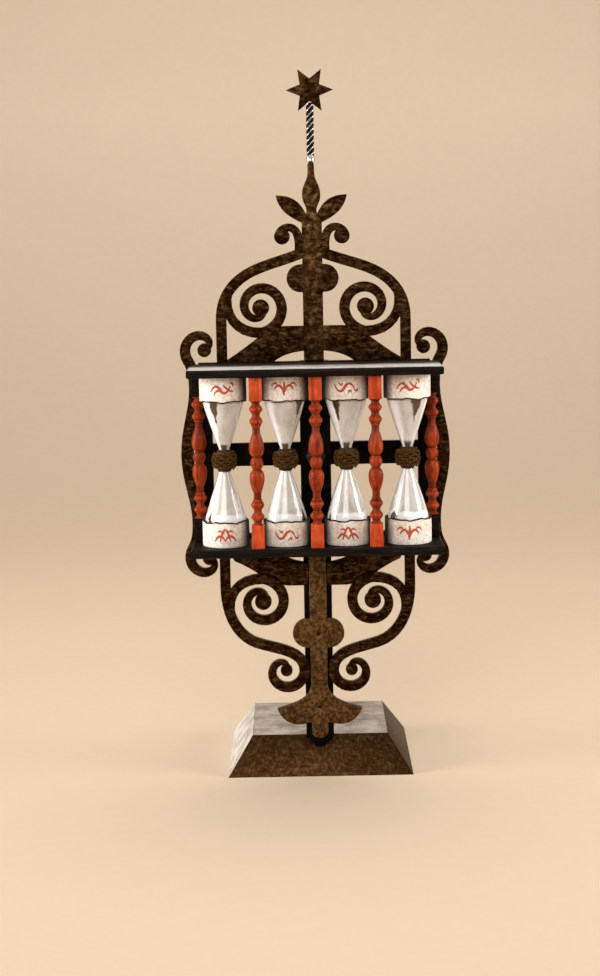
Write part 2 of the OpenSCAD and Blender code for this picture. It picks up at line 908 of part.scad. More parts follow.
module baluster(x, y) {
  half = baluster_profile();
  top = case_half - block_h;
  outline = concat(
    [[0, -top - past]], [[block_w / 2 - seat, -top - past]],
    [for (i = [len(half) - 1 : -1 : 1]) [half[i][0], -half[i][1]]], half,
    [[block_w / 2 - seat, top + past], [0, top + past]]
  );
  color(baluster_red)
  translate([x, y, pivot_z]) {
    rotate_extrude($fn = fine) polygon(outline);
    for (end = [-1, 1])
      translate([0, 0, end * (top + block_h / 2)]) cube([block_w, block_w, block_h], center = true);
    translate([0, 0, -case_half - plate_t]) cylinder(d = tenon_d, h = 2 * (case_half + plate_t), $fn = fine);
  }
}

function glass_x(i) = (i - 1.5) * glass_pitch;

// Radius and distance from the waist along a bulb, for its outer or inner skin
function bulb_skin(inset) =
  let (
    r_neck = neck_d / 2 - inset,
    r_bulb = bulb_d / 2 - inset,
    end_len = case_half - cap_end_t - seat - inset,
    cylinder_end = case_half - cap_end_t - dome_h,
    rise = end_len - cylinder_end
  )
  concat(
    [[r_neck, diaphragm_t / 2]],
    chain([
      [r_neck, neck_len], [r_neck + bulb_neck_pull[0], neck_len + bulb_neck_pull[1]],
      [r_bulb - bulb_shoulder_pull[0], shoulder_len - bulb_shoulder_pull[1]], [r_bulb, shoulder_len]
    ], 12),
    [for (i = [0 : 8]) [r_bulb * cos(90 * i / 8), cylinder_end + rise * sin(90 * i / 8)]]
  );

module bulb(i, end) {
  outer = bulb_skin(0);
  inner = bulb_skin(glass_wall);
  color(glass_grey, 0.4)
  translate([glass_x(i), glass_y, pivot_z]) mirror([0, 0, end < 0 ? 1 : 0])
    rotate_extrude($fn = fine)
      polygon(concat(outer, [for (k = [len(inner) - 1 : -1 : 0]) inner[k]]));
}

// The two paper caps that hold the ends of one glass against the plates
module paper_caps(i) {
  color(paper_white)
  translate([glass_x(i), glass_y, pivot_z])
    for (end = [0, 1]) mirror([0, 0, end]) difference() {
      translate([0, 0, case_half - cap_h]) cylinder(d = cap_d, h = cap_h, $fn = fine);
      translate([0, 0, case_half - cap_h - past])
        cylinder(d = bulb_d + 2 * glue_gap, h = cap_h - cap_end_t + past, $fn = fine);
    }
}

function sleeve_r(z) =
  sleeve_end_d / 2 + (sleeve_mid_d - sleeve_end_d) / 2 * cos(90 * z / sleeve_half_h);

// The leather sleeves over the joined necks, swelling to a ball
module waist_sleeves() {
  bore_r = neck_d / 2 + glue_gap;
  outer = [for (k = [-8 : 8]) [sleeve_r(sleeve_half_h * k / 8), sleeve_half_h * k / 8]];
  color(leather_brown)
  for (i = [0 : 3])
    translate([glass_x(i), glass_y, pivot_z])
      rotate_extrude($fn = fine)
        polygon(concat(outer, [[bore_r, sleeve_half_h], [bore_r, -sleeve_half_h]]));
}

// The cord's route: a helix that follows the swell of the sleeve, with straight ends one diameter long
function cord_route() =
  let (
    count = cord_rings * cord_turns,
    climb = cord_pitch * cord_turns,
    coil = [
      for (i = [0 : count])
        let (
          a = 360 * i / cord_rings,
          z = climb * (i / count - 0.5),
          r = sleeve_r(z) + cord_d / 2 + cord_gap
        )
        [r * cos(a), r * sin(a), z]
    ],
    first = coil[0] - unit(coil[1] - coil[0]) * cord_d,
    last = coil[count] + unit(coil[count] - coil[count - 1]) * cord_d
  )
  concat([first], coil, [last]);

// The least gap between turns: points half a turn or more apart along the cord, less the cord's diameter
function cord_self_gap(route) =
  min([
    for (i = [0 : 3 : len(route) - 1])
      for (j = [i + cord_rings / 2 : 1 : len(route) - 1])
        norm(route[i] - route[j])
  ]) - cord_d;

module waist_cord(i) {
  route = cord_route();
  last = len(route) - 1;
  echo(cord_self_gap = cord_self_gap(route));
  points = [
    for (k = [0 : last])
      let (
        ahead = unit(route[min(k + 1, last)] - route[max(k - 1, 0)]),
        out = unit([route[k][0], route[k][1], 0]),
        across = unit(cross(ahead, out)),
        up = cross(across, ahead)
      )
      for (s = [0 : cord_sides - 1])
        route[k] + cord_d / 2 * (cos(360 * s / cord_sides) * up + sin(360 * s / cord_sides) * across)
  ];
  color(cord_brown)
  translate([glass_x(i), glass_y, pivot_z])
    polyhedron(points, concat(tube_sides(last + 1, cord_sides), tube_caps(last + 1, cord_sides)));
}

// The pierced discs between each pair of necks
module diaphragms() {
  color(leather_brown)
  for (i = [0 : 3])
    translate([glass_x(i), glass_y, pivot_z - diaphragm_t / 2]) difference() {
      cylinder(d = neck_d, h = diaphragm_t, $fn = fine);
      translate([0, 0, -past]) cylinder(d = sand_hole_d, h = diaphragm_t + 2 * past, $fn = fine);
    }
}

// The sand at rest in the lower bulbs, heaped under the waist
module sand() {
  skin = bulb_skin(glass_wall + glue_gap);
  filled = [for (p = skin) if (p[1] > sand_level) p];
  color(sand_white)
  for (i = [0 : 3])
    translate([glass_x(i), glass_y, pivot_z]) mirror([0, 0, 1])
      rotate_extrude($fn = fine)
        polygon(concat([[0, filled[0][1] - sand_cone_h]], filled));
}

plinth();
post();
rail(rail_top_z - rail_h);  // top_rail
rail(rail_low_z);  // bottom_rail
upright(-1);  // left_upright
upright(1);  // right_upright
cross_bar();
upper_stem();
leaf(-1);  // left_leaf
leaf(1);  // right_leaf
upper_arch(-1);  // left_upper_arch
upper_arch(1);  // right_upper_arch
upper_s_bar(-1);  // left_upper_s_bar
upper_s_bar(1);  // right_upper_s_bar
upper_scroll(-1);  // left_upper_scroll
upper_scroll(1);  // right_upper_scroll
side_scroll(-1);  // left_side_scroll
side_scroll(1);  // right_side_scroll
lower_stem();
lower_arch(-1);  // left_lower_arch
lower_arch(1);  // right_lower_arch
lower_s_bar(-1);  // left_lower_s_bar
lower_s_bar(1);  // right_lower_s_bar
lower_scroll(-1);  // left_lower_scroll
lower_scroll(1);  // right_lower_scroll
twisted_rod();
star();
pivot_pin();
pivot_washers();
pivot_key();
rivets();
plate(pivot_z + case_half);  // top_plate
plate(pivot_z - case_half - plate_t);  // bottom_plate
back_strap();
strap_nails();
baluster(-end_baluster_x, end_baluster_y);  // left_end_baluster
baluster(-front_pitch, front_baluster_y);  // left_baluster
baluster(0, front_baluster_y);  // middle_baluster
baluster(front_pitch, front_baluster_y);  // right_baluster
baluster(end_baluster_x, end_baluster_y);  // right_end_baluster
bulb(0, 1);  // glass_1_upper_bulb
bulb(0, -1);  // glass_1_lower_bulb
paper_caps(0);  // glass_1_paper_caps
waist_cord(0);  // glass_1_waist_cord
bulb(1, 1);  // glass_2_upper_bulb
bulb(1, -1);  // glass_2_lower_bulb
paper_caps(1);  // glass_2_paper_caps
waist_cord(1);  // glass_2_waist_cord
bulb(2, 1);  // glass_3_upper_bulb
bulb(2, -1);  // glass_3_lower_bulb
paper_caps(2);  // glass_3_paper_caps
waist_cord(2);  // glass_3_waist_cord
bulb(3, 1);  // glass_4_upper_bulb
bulb(3, -1);  // glass_4_lower_bulb
paper_caps(3);  // glass_4_paper_caps
waist_cord(3);  // glass_4_waist_cord
waist_sleeves();
diaphragms();
sand();
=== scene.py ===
import math

import bpy
from mathutils import Matrix, Vector


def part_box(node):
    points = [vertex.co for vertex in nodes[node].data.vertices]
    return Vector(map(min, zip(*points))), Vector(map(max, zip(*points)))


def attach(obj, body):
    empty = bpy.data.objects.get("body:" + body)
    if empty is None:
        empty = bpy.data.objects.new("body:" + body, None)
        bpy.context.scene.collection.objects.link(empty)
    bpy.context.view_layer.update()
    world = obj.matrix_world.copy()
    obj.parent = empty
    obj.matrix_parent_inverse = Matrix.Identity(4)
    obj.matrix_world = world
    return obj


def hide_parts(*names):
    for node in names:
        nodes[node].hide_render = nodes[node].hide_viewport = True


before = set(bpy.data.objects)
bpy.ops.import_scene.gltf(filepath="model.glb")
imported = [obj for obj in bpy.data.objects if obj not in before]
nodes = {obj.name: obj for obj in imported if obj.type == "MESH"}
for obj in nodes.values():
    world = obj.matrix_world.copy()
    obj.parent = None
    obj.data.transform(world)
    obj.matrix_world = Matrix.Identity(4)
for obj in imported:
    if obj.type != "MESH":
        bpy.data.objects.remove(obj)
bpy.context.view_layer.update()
mm = 0.001
print("frame loaded:", len(nodes), "nodes")


# puts a new object into the scene
def linkObject(name, data):
    thing = bpy.data.objects.new(name, data)
    bpy.context.scene.collection.objects.link(thing)
    return thing


# camera
cameraSetup = {
    "place": (-0.0155, -1.900, 0.558), "tilt": 8.56, "roll": -1.05,
    "lens": 71.0, "longSide": 36.0, "clipEnd": 30,
}


def placeCamera(setup):
    data = bpy.data.cameras.new("pictureCamera")
    camera = linkObject("pictureCamera", data)
    data.sensor_fit = "VERTICAL"
    data.sensor_height = setup["longSide"]
    data.lens = setup["lens"]
    data.clip_end = setup["clipEnd"]
    turn = Matrix.Rotation(math.radians(90 - setup["tilt"]), 4, "X")
    roll = Matrix.Rotation(math.radians(setup["roll"]), 4, "Z")
    camera.matrix_world = Matrix.Translation(setup["place"]) @ turn @ roll
    bpy.context.scene.camera = camera


placeCamera(cameraSetup)


# where things are, read from the frame, and how tall one paper cap is
def middleOf(node):
    low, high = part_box(node)
    return (low + high) / 2


glassCount = 4
pivotZ = middleOf("glass_1_paper_caps").z
glassY = middleOf("glass_1_paper_caps").y
glassX = [middleOf(f"glass_{i + 1}_paper_caps").x for i in range(glassCount)]
capLow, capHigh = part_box("glass_1_paper_caps")
capHeight = 24 * mm
caseHalf = (capHigh.z - capLow.z) / 2
capEdge = caseHalf - capHeight
capRadius = (capHigh.x - capLow.x) / 2


# small helpers for modelling
def pickOnly(piece):
    bpy.ops.object.select_all(action="DESELECT")
    piece.select_set(True)
    bpy.context.view_layer.objects.active = piece


def newPiece(name, verts, edges=(), faces=()):
    mesh = bpy.data.meshes.new(name)
    mesh.from_pydata([tuple(v) for v in verts], [tuple(e) for e in edges], [tuple(f) for f in faces])
    return linkObject(name, mesh)


def enterEdit(piece):
    pickOnly(piece)
    bpy.ops.object.mode_set(mode="EDIT")
    bpy.ops.mesh.select_all(action="SELECT")


def leaveEdit():
    bpy.ops.object.mode_set(mode="OBJECT")


def faceOutwards(piece):
    enterEdit(piece)
    bpy.ops.mesh.normals_make_consistent(inside=False)
    leaveEdit()


def smoothPiece(piece, angle=32):
    pickOnly(piece)
    bpy.ops.object.shade_smooth_by_angle(angle=math.radians(angle))


def applyBevel(piece, width, segments=3, angle=40, slot=-1):
    bevel = piece.modifiers.new("roundedEdges", "BEVEL")
    bevel.width = width
    bevel.segments = segments
    bevel.limit_method = "ANGLE"
    bevel.angle_limit = math.radians(angle)
    bevel.use_clamp_overlap = True
    bevel.material = slot
    pickOnly(piece)
    bpy.ops.object.modifier_apply(modifier=bevel.name)


# a line of radius and height pairs, spun round an upright axis
def spinProfile(name, profile, centre, steps, closed=False):
    verts = [(centre[0] + r, centre[1], z) for r, z in profile]
    edges = [(i, i + 1) for i in range(len(verts) - 1)]
    if closed:
        edges.append((len(verts) - 1, 0))
    piece = newPiece(name, verts, edges)
    enterEdit(piece)
    bpy.ops.mesh.spin(steps=steps, angle=2 * math.pi, center=(centre[0], centre[1], 0), axis=(0, 0, 1))
    bpy.ops.mesh.select_all(action="SELECT")
    bpy.ops.mesh.remove_doubles(threshold=0.000004)
    bpy.ops.mesh.normals_make_consistent(inside=False)
    leaveEdit()
    return piece


def joinPieces(name, pieces):
    pickOnly(pieces[0])
    for piece in pieces:
        piece.select_set(True)
    bpy.ops.object.join()
    pieces[0].name = name
    return pieces[0]


def copyPiece(source, name, matrix):
    mesh = source.data.copy()
    mesh.transform(matrix)
    return linkObject(name, mesh)


def newBlock(size, middle):
    bpy.ops.object.select_all(action="DESELECT")
    bpy.ops.mesh.primitive_cube_add(size=1, location=middle)
    block = bpy.context.active_object
    block.scale = size
    bpy.ops.object.transform_apply(location=True, rotation=False, scale=True)
    return block


# the faces of a tube made of equal rings, closed at both ends
def tubeFaces(start, rings, sides):
    faces = []
    for i in range(rings - 1):
        for k in range(sides):
            a, b = start + i * sides + k, start + i * sides + (k + 1) % sides
            faces.append((a, b, b + sides, a + sides))
    last = start + (rings - 1) * sides
    faces.append(tuple(start + k for k in range(sides - 1, -1, -1)))
    faces.append(tuple(last + k for k in range(sides)))
    return faces


# end over end about the middle of a glass
def turnedOver(centre):
    middle = Vector((*centre, pivotZ))
    return Matrix.Translation(middle) @ Matrix.Rotation(math.pi, 4, "X") @ Matrix.Translation(-middle)


def cubicPoint(a, b, c, d, t):
    s = 1 - t
    weights = (s**3, 3 * t * s * s, 3 * t * t * s, t**3)
    return tuple(sum(w * point[k] for w, point in zip(weights, (a, b, c, d))) for k in range(len(a)))


def cubicLine(points, steps):
    line = []
    for start in range(0, len(points) - 3, 3):
        first = 0 if start == 0 else 1
        line += [cubicPoint(*points[start:start + 4], i / steps) for i in range(first, steps + 1)]
    return line


# which way each point looks from an upright axis, for patterns that follow a round wall
def keepBearings(piece, centre):
    layer = piece.data.attributes.new("outward", "FLOAT_VECTOR", "POINT")
    for vertex, value in zip(piece.data.vertices, layer.data):
        away = Vector((vertex.co.x - centre[0], vertex.co.y - centre[1], 0))
        value.vector = away.normalized() if away.length > 0 else (0, -1, 0)


def finishPiece(piece, body, replaced):
    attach(piece, body)
    if replaced:
        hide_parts(*replaced)


# small helpers for materials
def addNode(tree, kind, inputs=None, **settings):
    node = tree.nodes.new(kind)
    for key, value in settings.items():
        setattr(node, key, value)
    for key, value in (inputs or {}).items():
        node.inputs[key].default_value = value
    return node


def newMaterial(name, colour, roughness, values=None):
    material = bpy.data.materials.new(name)
    material.use_nodes = True
    shader = material.node_tree.nodes["Principled BSDF"]
    for key, value in {"Base Color": (*colour, 1), "Roughness": roughness, **(values or {})}.items():
        shader.inputs[key].default_value = value
    return material, material.node_tree, shader


def placedCoords(tree, scale=(1, 1, 1)):
    coords = addNode(tree, "ShaderNodeTexCoord")
    mapping = addNode(tree, "ShaderNodeMapping", {"Scale": scale})
    tree.links.new(coords.outputs["Object"], mapping.inputs["Vector"])
    return mapping.outputs["Vector"]


def vectorPart(tree, vector, axis):
    parts = addNode(tree, "ShaderNodeSeparateXYZ")
    tree.links.new(vector, parts.inputs["Vector"])
    return parts.outputs[axis]


# an input takes a link from another node, or a value of its own
def feed(tree, socket, value):
    if isinstance(value, bpy.types.NodeSocket):
        tree.links.new(value, socket)
    else:
        socket.default_value = value


# one sum on sockets and numbers
def reckon(tree, operation, *values):
    node = addNode(tree, "ShaderNodeMath", operation=operation)
    for socket, value in zip(node.inputs, values):
        feed(tree, socket, value)
    return node.outputs["Value"]


def noise(tree, vector, scale, detail=4.0, roughness=0.55, distortion=0.0):
    node = addNode(tree, "ShaderNodeTexNoise",
                   {"Scale": scale, "Detail": detail, "Roughness": roughness, "Distortion": distortion})
    tree.links.new(vector, node.inputs["Vector"])
    return node.outputs["Fac"]


def ramp(tree, factor, stops):
    node = addNode(tree, "ShaderNodeValToRGB")
    band = node.color_ramp
    while len(band.elements) < len(stops):
        band.elements.new(0.5)
    for element, (place, colour) in zip(band.elements, stops):
        element.position = place
        element.color = (*colour, 1)
    tree.links.new(factor, node.inputs["Fac"])
    return node.outputs["Color"]


def spread(tree, value, low, high, fromLow=0.0, fromHigh=1.0):
    node = addNode(tree, "ShaderNodeMapRange", {"From Min": fromLow, "From Max": fromHigh, "To Max": high})
    feed(tree, node.inputs["Value"], value)
    feed(tree, node.inputs["To Min"], low)
    return node.outputs["Result"]


def dimmed(colour, share):
    return tuple(c * share for c in colour)


def grey(value):
    return (value, value, value)


def mixColours(tree, factor, first, second, blend="MIX"):
    node = addNode(tree, "ShaderNodeMix", data_type="RGBA", blend_type=blend)
    for key, value in (("Factor", factor), ("A", first), ("B", second)):
        socket = next(s for s in node.inputs if s.name == key and (s.type == "RGBA" or key == "Factor"))
        feed(tree, socket, (*value, 1) if isinstance(value, tuple) else value)
    return next(s for s in node.outputs if s.type == "RGBA")


# above a half on edges and beads, below it in hollows
def edgeness(tree):
    return addNode(tree, "ShaderNodeNewGeometry").outputs["Pointiness"]


def bump(tree, shader, heights):
    normal = None
    for height, strength, distance in heights:
        node = addNode(tree, "ShaderNodeBump", {"Strength": strength, "Distance": distance})
        tree.links.new(height, node.inputs["Height"])
        if normal is not None:
            tree.links.new(normal, node.inputs["Normal"])
        normal = node.outputs["Normal"]
    tree.links.new(normal, shader.inputs["Normal"])


# the first roughness where a noise is low, the second where it is high
def varyRoughness(tree, shader, pattern, first, second):
    uneven = spread(tree, pattern, first, second, 0.3, 0.7)
    tree.links.new(uneven, shader.inputs["Roughness"])


# wrought iron: hammered, dark, with warmer lights where it is rubbed, and a painted highlight along the
# middle of the stand
ironLook = {
    "dark": (0.011, 0.0030, 0.0007), "middle": (0.036, 0.0145, 0.0046), "light": (0.22, 0.128, 0.050),
    "patch": 170, "scale": 300, "dimple": 150, "grain": 900, "worn": 0.42, "rough": (0.36, 0.62),
    "middleLift": 0.05, "outerLift": -0.075, "middleHalf": 4 * mm, "outerHalf": 17 * mm,
}


# painted highlight: the iron is painted lightest along the middle of the stand, where the light falls on it
def paintedHighlightMiddle(tree, look):
    sideways = reckon(tree, "ABSOLUTE", vectorPart(tree, placedCoords(tree), "X"))
    lifts = (look["middleLift"], look["outerLift"])
    return spread(tree, sideways, *lifts, look["middleHalf"], look["outerHalf"])


def forgedIron(name, look):
    material, tree, shader = newMaterial(name, look["middle"], 0.45, {"Metallic": 1.0})
    coords = placedCoords(tree)
    patch = noise(tree, coords, look["patch"], 5, 0.65)
    scale = noise(tree, placedCoords(tree, scale=(0.6, 1, 1.4)), look["scale"], 4, 0.6, 0.6)
    grain = noise(tree, coords, look["grain"], 3, 0.6)
    # painted highlight: the lift along the middle of the stand, for the looks that have one
    if "middleLift" in look:
        patch = reckon(tree, "ADD", patch, paintedHighlightMiddle(tree, look))
    base = ramp(tree, patch, [(0.38, look["dark"]), (0.56, look["middle"]), (0.84, look["light"])])
    worn = ramp(tree, scale, [(0.50, grey(0)), (0.72, grey(look["worn"]))])
    tree.links.new(mixColours(tree, worn, base, look["light"]), shader.inputs["Base Color"])
    varyRoughness(tree, shader, grain, *look["rough"])
    cells = {"Scale": look["dimple"], "Smoothness": 1.0}
    dimples = addNode(tree, "ShaderNodeTexVoronoi", cells, feature="SMOOTH_F1")
    tree.links.new(coords, dimples.inputs["Vector"])
    bump(tree, shader, [
        (dimples.outputs["Distance"], 0.75, 0.0012),
        (scale, 0.35, 0.0005),
        (grain, 0.25, 0.0002),
    ])
    return material


blackIronLook = {
    "dark": (0.0035, 0.0028, 0.0026), "middle": (0.0075, 0.0058, 0.0048), "light": (0.022, 0.016, 0.012),
    "patch": 30, "scale": 220, "dimple": 120, "grain": 1100, "worn": 0.3, "rough": (0.36, 0.62),
}
starLook = {**ironLook, "middleLift": -0.05, "outerLift": -0.05, "worn": 0.3}
stemLook = {
    **ironLook,
    "dark": (0.032, 0.0125, 0.0038), "middle": (0.060, 0.028, 0.0094), "light": (0.225, 0.128, 0.049),
    "patch": 270, "middleLift": 0.12, "outerLift": 0.08, "outerHalf": 36 * mm,
}
plinthLook = {
    "dark": (0.020, 0.0070, 0.0019), "middle": (0.036, 0.0145, 0.0044), "light": (0.105, 0.055, 0.020),
    "patch": 290, "scale": 330, "dimple": 80, "grain": 800, "worn": 0.3, "rough": (0.36, 0.62),
    "middleLift": 0.09, "outerLift": 0.03, "middleHalf": 12 * mm, "outerHalf": 85 * mm,
}
# painted highlight: the pale top and the white left slope of the plinth
plinthTopHighlightLook = {
    "dark": (0.24, 0.20, 0.165), "middle": (0.42, 0.37, 0.32), "light": (0.66, 0.62, 0.57),
    "patch": 34, "scale": 260, "dimple": 60, "grain": 900, "worn": 0.4, "rough": (0.60, 0.80),
}
plinthSlopeHighlightLook = {
    **plinthTopHighlightLook,
    "dark": (0.50, 0.46, 0.41), "middle": (0.80, 0.77, 0.72), "light": (0.98, 0.97, 0.95),
    "patch": 50, "worn": 0.6, "rough": (0.50, 0.70),
}

wroughtIron = forgedIron("wroughtIron", ironLook)
starIron = forgedIron("starIron", starLook)
stemIron = forgedIron("stemIron", stemLook)
blackIron = forgedIron("blackIron", blackIronLook)
plinthIron = forgedIron("plinthIron", plinthLook)
plinthTopHighlight = forgedIron("plinthTopHighlight", plinthTopHighlightLook)
plinthSlopeHighlight = forgedIron("plinthSlopeHighlight", plinthSlopeHighlightLook)


# dull and bright steel, and the twisted rod's flats darkened as painted shade
steelLook = {"dull": (0.045, 0.040, 0.036), "bright": (0.62, 0.60, 0.57), "dark": (0.006, 0.0055, 0.005)}


def turnedSteel(name, colour, roughness, metallic=0.9, shine=0.5):
    values = {"Metallic": metallic, "Specular IOR Level": shine}
    material, tree, shader = newMaterial(name, colour, roughness, values)
    fineRing = noise(tree, placedCoords(tree, scale=(1, 6, 1)), 700, 3, 0.6)
    blotch = noise(tree, placedCoords(tree), 160, 4, 0.6)
    blotched = ramp(tree, blotch, [(0.35, dimmed(colour, 0.55)), (0.62, colour)])
    tree.links.new(blotched, shader.inputs["Base Color"])
    varyRoughness(tree, shader, blotch, roughness + 0.14, roughness - 0.06)
    bump(tree, shader, [(fineRing, 0.2, 0.0002)])
    return material


dullSteel = turnedSteel("dullSteel", steelLook["dull"], 0.42)
brightSteel = turnedSteel("brightSteel", steelLook["bright"], 0.24)
shadedFlats = turnedSteel("shadedFlats", steelLook["dark"], 0.6, 0.2, 0.08)


# stained and ebonised wood, with grain along one axis
redWoodLook = {
    "dark": (0.22, 0.020, 0.005), "middle": (0.48, 0.056, 0.012), "light": (0.60, 0.115, 0.034),
    "hollow": grey(0.5), "coat": 0.0, "rough": 0.45, "shine": 0.15,
}
# painted shade: the turned parts take a darker copy of the blocks' red wood, standing in for the shade on
# their curves
shadedTurnedWoodLook = {
    "dark": (0.10, 0.007, 0.001), "middle": (0.29, 0.031, 0.004), "light": (0.50, 0.085, 0.015),
    "hollow": (0.16, 0.09, 0.06), "coat": 0.03, "rough": 0.44, "shine": 0.1,
}
blackWoodLook = {
    "dark": (0.002, 0.0012, 0.0008), "middle": (0.006, 0.0033, 0.0020), "light": (0.022, 0.012, 0.006),
    "hollow": grey(0.5), "coat": 0.0, "rough": 0.5, "shine": 0.06,
}
# painted highlight: the pale strip along the front of the top plate's upper face, where the light glances
# off it
paintedHighlightWoodLook = {
    "dark": (0.26, 0.22, 0.18), "middle": (0.50, 0.46, 0.41), "light": (0.90, 0.88, 0.85),
    "hollow": grey(0.5), "coat": 0.0, "rough": 0.65, "shine": 0.04,
    "behind": (0.020, 0.012, 0.007), "highlightDepth": 24 * mm, "fade": 24 * mm,
}


# nothing along the plate's front edge and one behind its painted highlight strip, with an uneven border
def behindFront(tree, cloud, look):
    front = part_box("top_plate")[0].y + look["highlightDepth"]
    uneven = spread(tree, cloud, -look["fade"] / 3, look["fade"] / 3, 0.2, 0.8)
    depth = reckon(tree, "ADD", vectorPart(tree, placedCoords(tree), "Y"), uneven)
    return spread(tree, depth, 0.0, 1.0, front, front + look["fade"])


def grainedWood(name, look, stretch):
    values = {"Coat Weight": look["coat"], "Coat Roughness": 0.22, "Specular IOR Level": look["shine"]}
    material, tree, shader = newMaterial(name, look["middle"], look["rough"], values)
    coords = placedCoords(tree, scale=stretch)
    grain = noise(tree, coords, 260, 6, 0.62, 1.2)
    pores = noise(tree, coords, 900, 3, 0.6, 0.4)
    cloud = noise(tree, placedCoords(tree), 70, 4, 0.6)
    base = ramp(tree, grain, [(0.32, look["dark"]), (0.50, look["middle"]), (0.74, look["light"])])
    shade = ramp(tree, cloud, [(0.35, (0.62, 0.62, 0.62)), (0.65, (1.15, 1.1, 1.1))])
    clouded = mixColours(tree, 0.8, base, shade, "MULTIPLY")
    # painted shade: the wood is darkened in its hollows and creases, where shade falls, by the pointiness
    hollowShadeStops = [(0.42, look["hollow"]), (0.50, (0.72, 0.70, 0.68)), (0.53, grey(1))]
    hollows = ramp(tree, edgeness(tree), hollowShadeStops)
    colour = mixColours(tree, 1.0, clouded, hollows, "MULTIPLY")
    if "behind" in look:
        colour = mixColours(tree, behindFront(tree, cloud, look), colour, look["behind"])
    tree.links.new(colour, shader.inputs["Base Color"])
    varyRoughness(tree, shader, pores, look["rough"] + 0.12, look["rough"] - 0.08)
    bump(tree, shader, [(grain, 0.3, 0.0004), (pores, 0.3, 0.00015)])
    return material


redWood = grainedWood("redWood", redWoodLook, (1, 1, 0.10))
shadedTurnedWood = grainedWood("shadedTurnedWood", shadedTurnedWoodLook, (1, 1, 0.10))
blackWood = grainedWood("blackWood", blackWoodLook, (0.08, 1, 1))
paintedHighlightWood = grainedWood("paintedHighlightWood", paintedHighlightWoodLook, (0.08, 1, 1))


# old blown glass with a grey film inside
glassLook = {
    "dust": (0.90, 0.85, 0.78), "white": (0.96, 0.95, 0.93), "brown": (0.048, 0.024, 0.009),
    "rough": 0.10, "ior": 1.46, "clear": (0.28, 0.58), "whitest": 0.12, "stainWave": 0.28,
    "leftStreak": (0.29, 0.33, 0.385, 0.43), "rightStreak": (0.655, 0.675, 0.69, 0.71), "waver": 0.16,
    "sandRise": 7.5 * mm, "sandFade": 2 * mm, "neckLow": 14.5 * mm, "neckHigh": 17 * mm, "wavy": 1.5 * mm,
}


def outwardPart(tree, axis):
    outward = addNode(tree, "ShaderNodeAttribute", attribute_name="outward")
    return vectorPart(tree, outward.outputs["Vector"], axis)


# painted highlights: upright white stripes at set bearings round a bulb, where light would glint off its
# sides
def paintedHighlightStreaks(tree, look):
    forward = reckon(tree, "MULTIPLY", outwardPart(tree, "Y"), -1)
    bearing = reckon(tree, "ARCTAN2", outwardPart(tree, "X"), forward)
    turn = spread(tree, bearing, 0.0, 1.0, -math.pi, math.pi)
    half = look["waver"] / 2
    waver = spread(tree, noise(tree, placedCoords(tree), 38, 3, 0.55), -half, half)
    places = look["leftStreak"] + look["rightStreak"]
    stops = [(place, grey(white)) for place, white in zip(places, (0, 1, 1, 0) * 2)]
    return ramp(tree, reckon(tree, "ADD", turn, waver), stops)


# the brown stain that each bulb carries in its own attribute, with an uneven edge
def stainMask(tree, wave):
    stain = addNode(tree, "ShaderNodeAttribute", attribute_name="stain")
    uneven = spread(tree, noise(tree, placedCoords(tree), 150, 3, 0.6), -wave, wave, 0.25, 0.75)
    return ramp(tree, reckon(tree, "ADD", stain.outputs["Fac"], uneven), [(0.0, grey(0)), (0.26, grey(1))])


# nothing up to the first height and one past the second, with a wavy border between them
def heightMask(tree, fromZ, toZ, waviness):
    coords = placedCoords(tree)
    wave = spread(tree, noise(tree, coords, 130, 3, 0.5), -waviness, waviness)
    height = reckon(tree, "ADD", vectorPart(tree, coords, "Z"), wave)
    return ramp(tree, spread(tree, height, 0.0, 1.0, fromZ, toZ), [(0.0, grey(0)), (1.0, grey(1))])


def blownGlass(name, look):
    values = {"IOR": look["ior"], "Coat Weight": 0.6, "Coat Roughness": 0.03}
    material, tree, shader = newMaterial(name, look["dust"], look["rough"], values)
    film = noise(tree, placedCoords(tree, scale=(1, 1, 0.5)), 55, 5, 0.6, 0.8)
    speck = noise(tree, placedCoords(tree), 1500, 2, 0.6)
    dusty = ramp(tree, speck, [(0.35, dimmed(look["dust"], 0.82)), (0.62, look["dust"])])
    highlightStreaks = paintedHighlightStreaks(tree, look)
    sandTop = pivotZ - capEdge + look["sandRise"]
    sandBand = heightMask(tree, sandTop, sandTop - look["sandFade"], look["wavy"])
    neckBand = heightMask(tree, pivotZ + look["neckHigh"], pivotZ + look["neckLow"], look["wavy"])
    upper = heightMask(tree, pivotZ, pivotZ + 1 * mm, 0)
    sideways = reckon(tree, "ABSOLUTE", outwardPart(tree, "X"))
    middle = ramp(tree, sideways, [(0.40, grey(1)), (0.68, grey(0))])
    neck = mixColours(tree, 1.0, mixColours(tree, 1.0, neckBand, upper, "MULTIPLY"), middle, "MULTIPLY")
    brown = mixColours(tree, 1.0, stainMask(tree, look["stainWave"]), neck, "LIGHTEN")
    # painted highlight: the white stripes lighten the glass and cut its transmission
    streaked = mixColours(tree, highlightStreaks, dusty, look["white"])
    banded = mixColours(tree, sandBand, streaked, look["white"])
    rust = ramp(tree, speck, [(0.38, look["brown"]), (0.62, dimmed(look["brown"], 1.9))])
    tree.links.new(mixColours(tree, brown, banded, rust), shader.inputs["Base Color"])
    whites = mixColours(tree, 1.0, mixColours(tree, 1.0, highlightStreaks, sandBand, "LIGHTEN"), brown, "LIGHTEN")
    clear = spread(tree, film, *look["clear"], 0.35, 0.68)
    tree.links.new(spread(tree, whites, clear, look["whitest"]), shader.inputs["Transmission Weight"])
    waves = noise(tree, placedCoords(tree, scale=(1, 1, 0.35)), 60, 3, 0.5)
    bump(tree, shader, [(waves, 0.35, 0.0012), (speck, 0.08, 0.0001)])
    return material


clearGlass = blownGlass("clearGlass", glassLook)


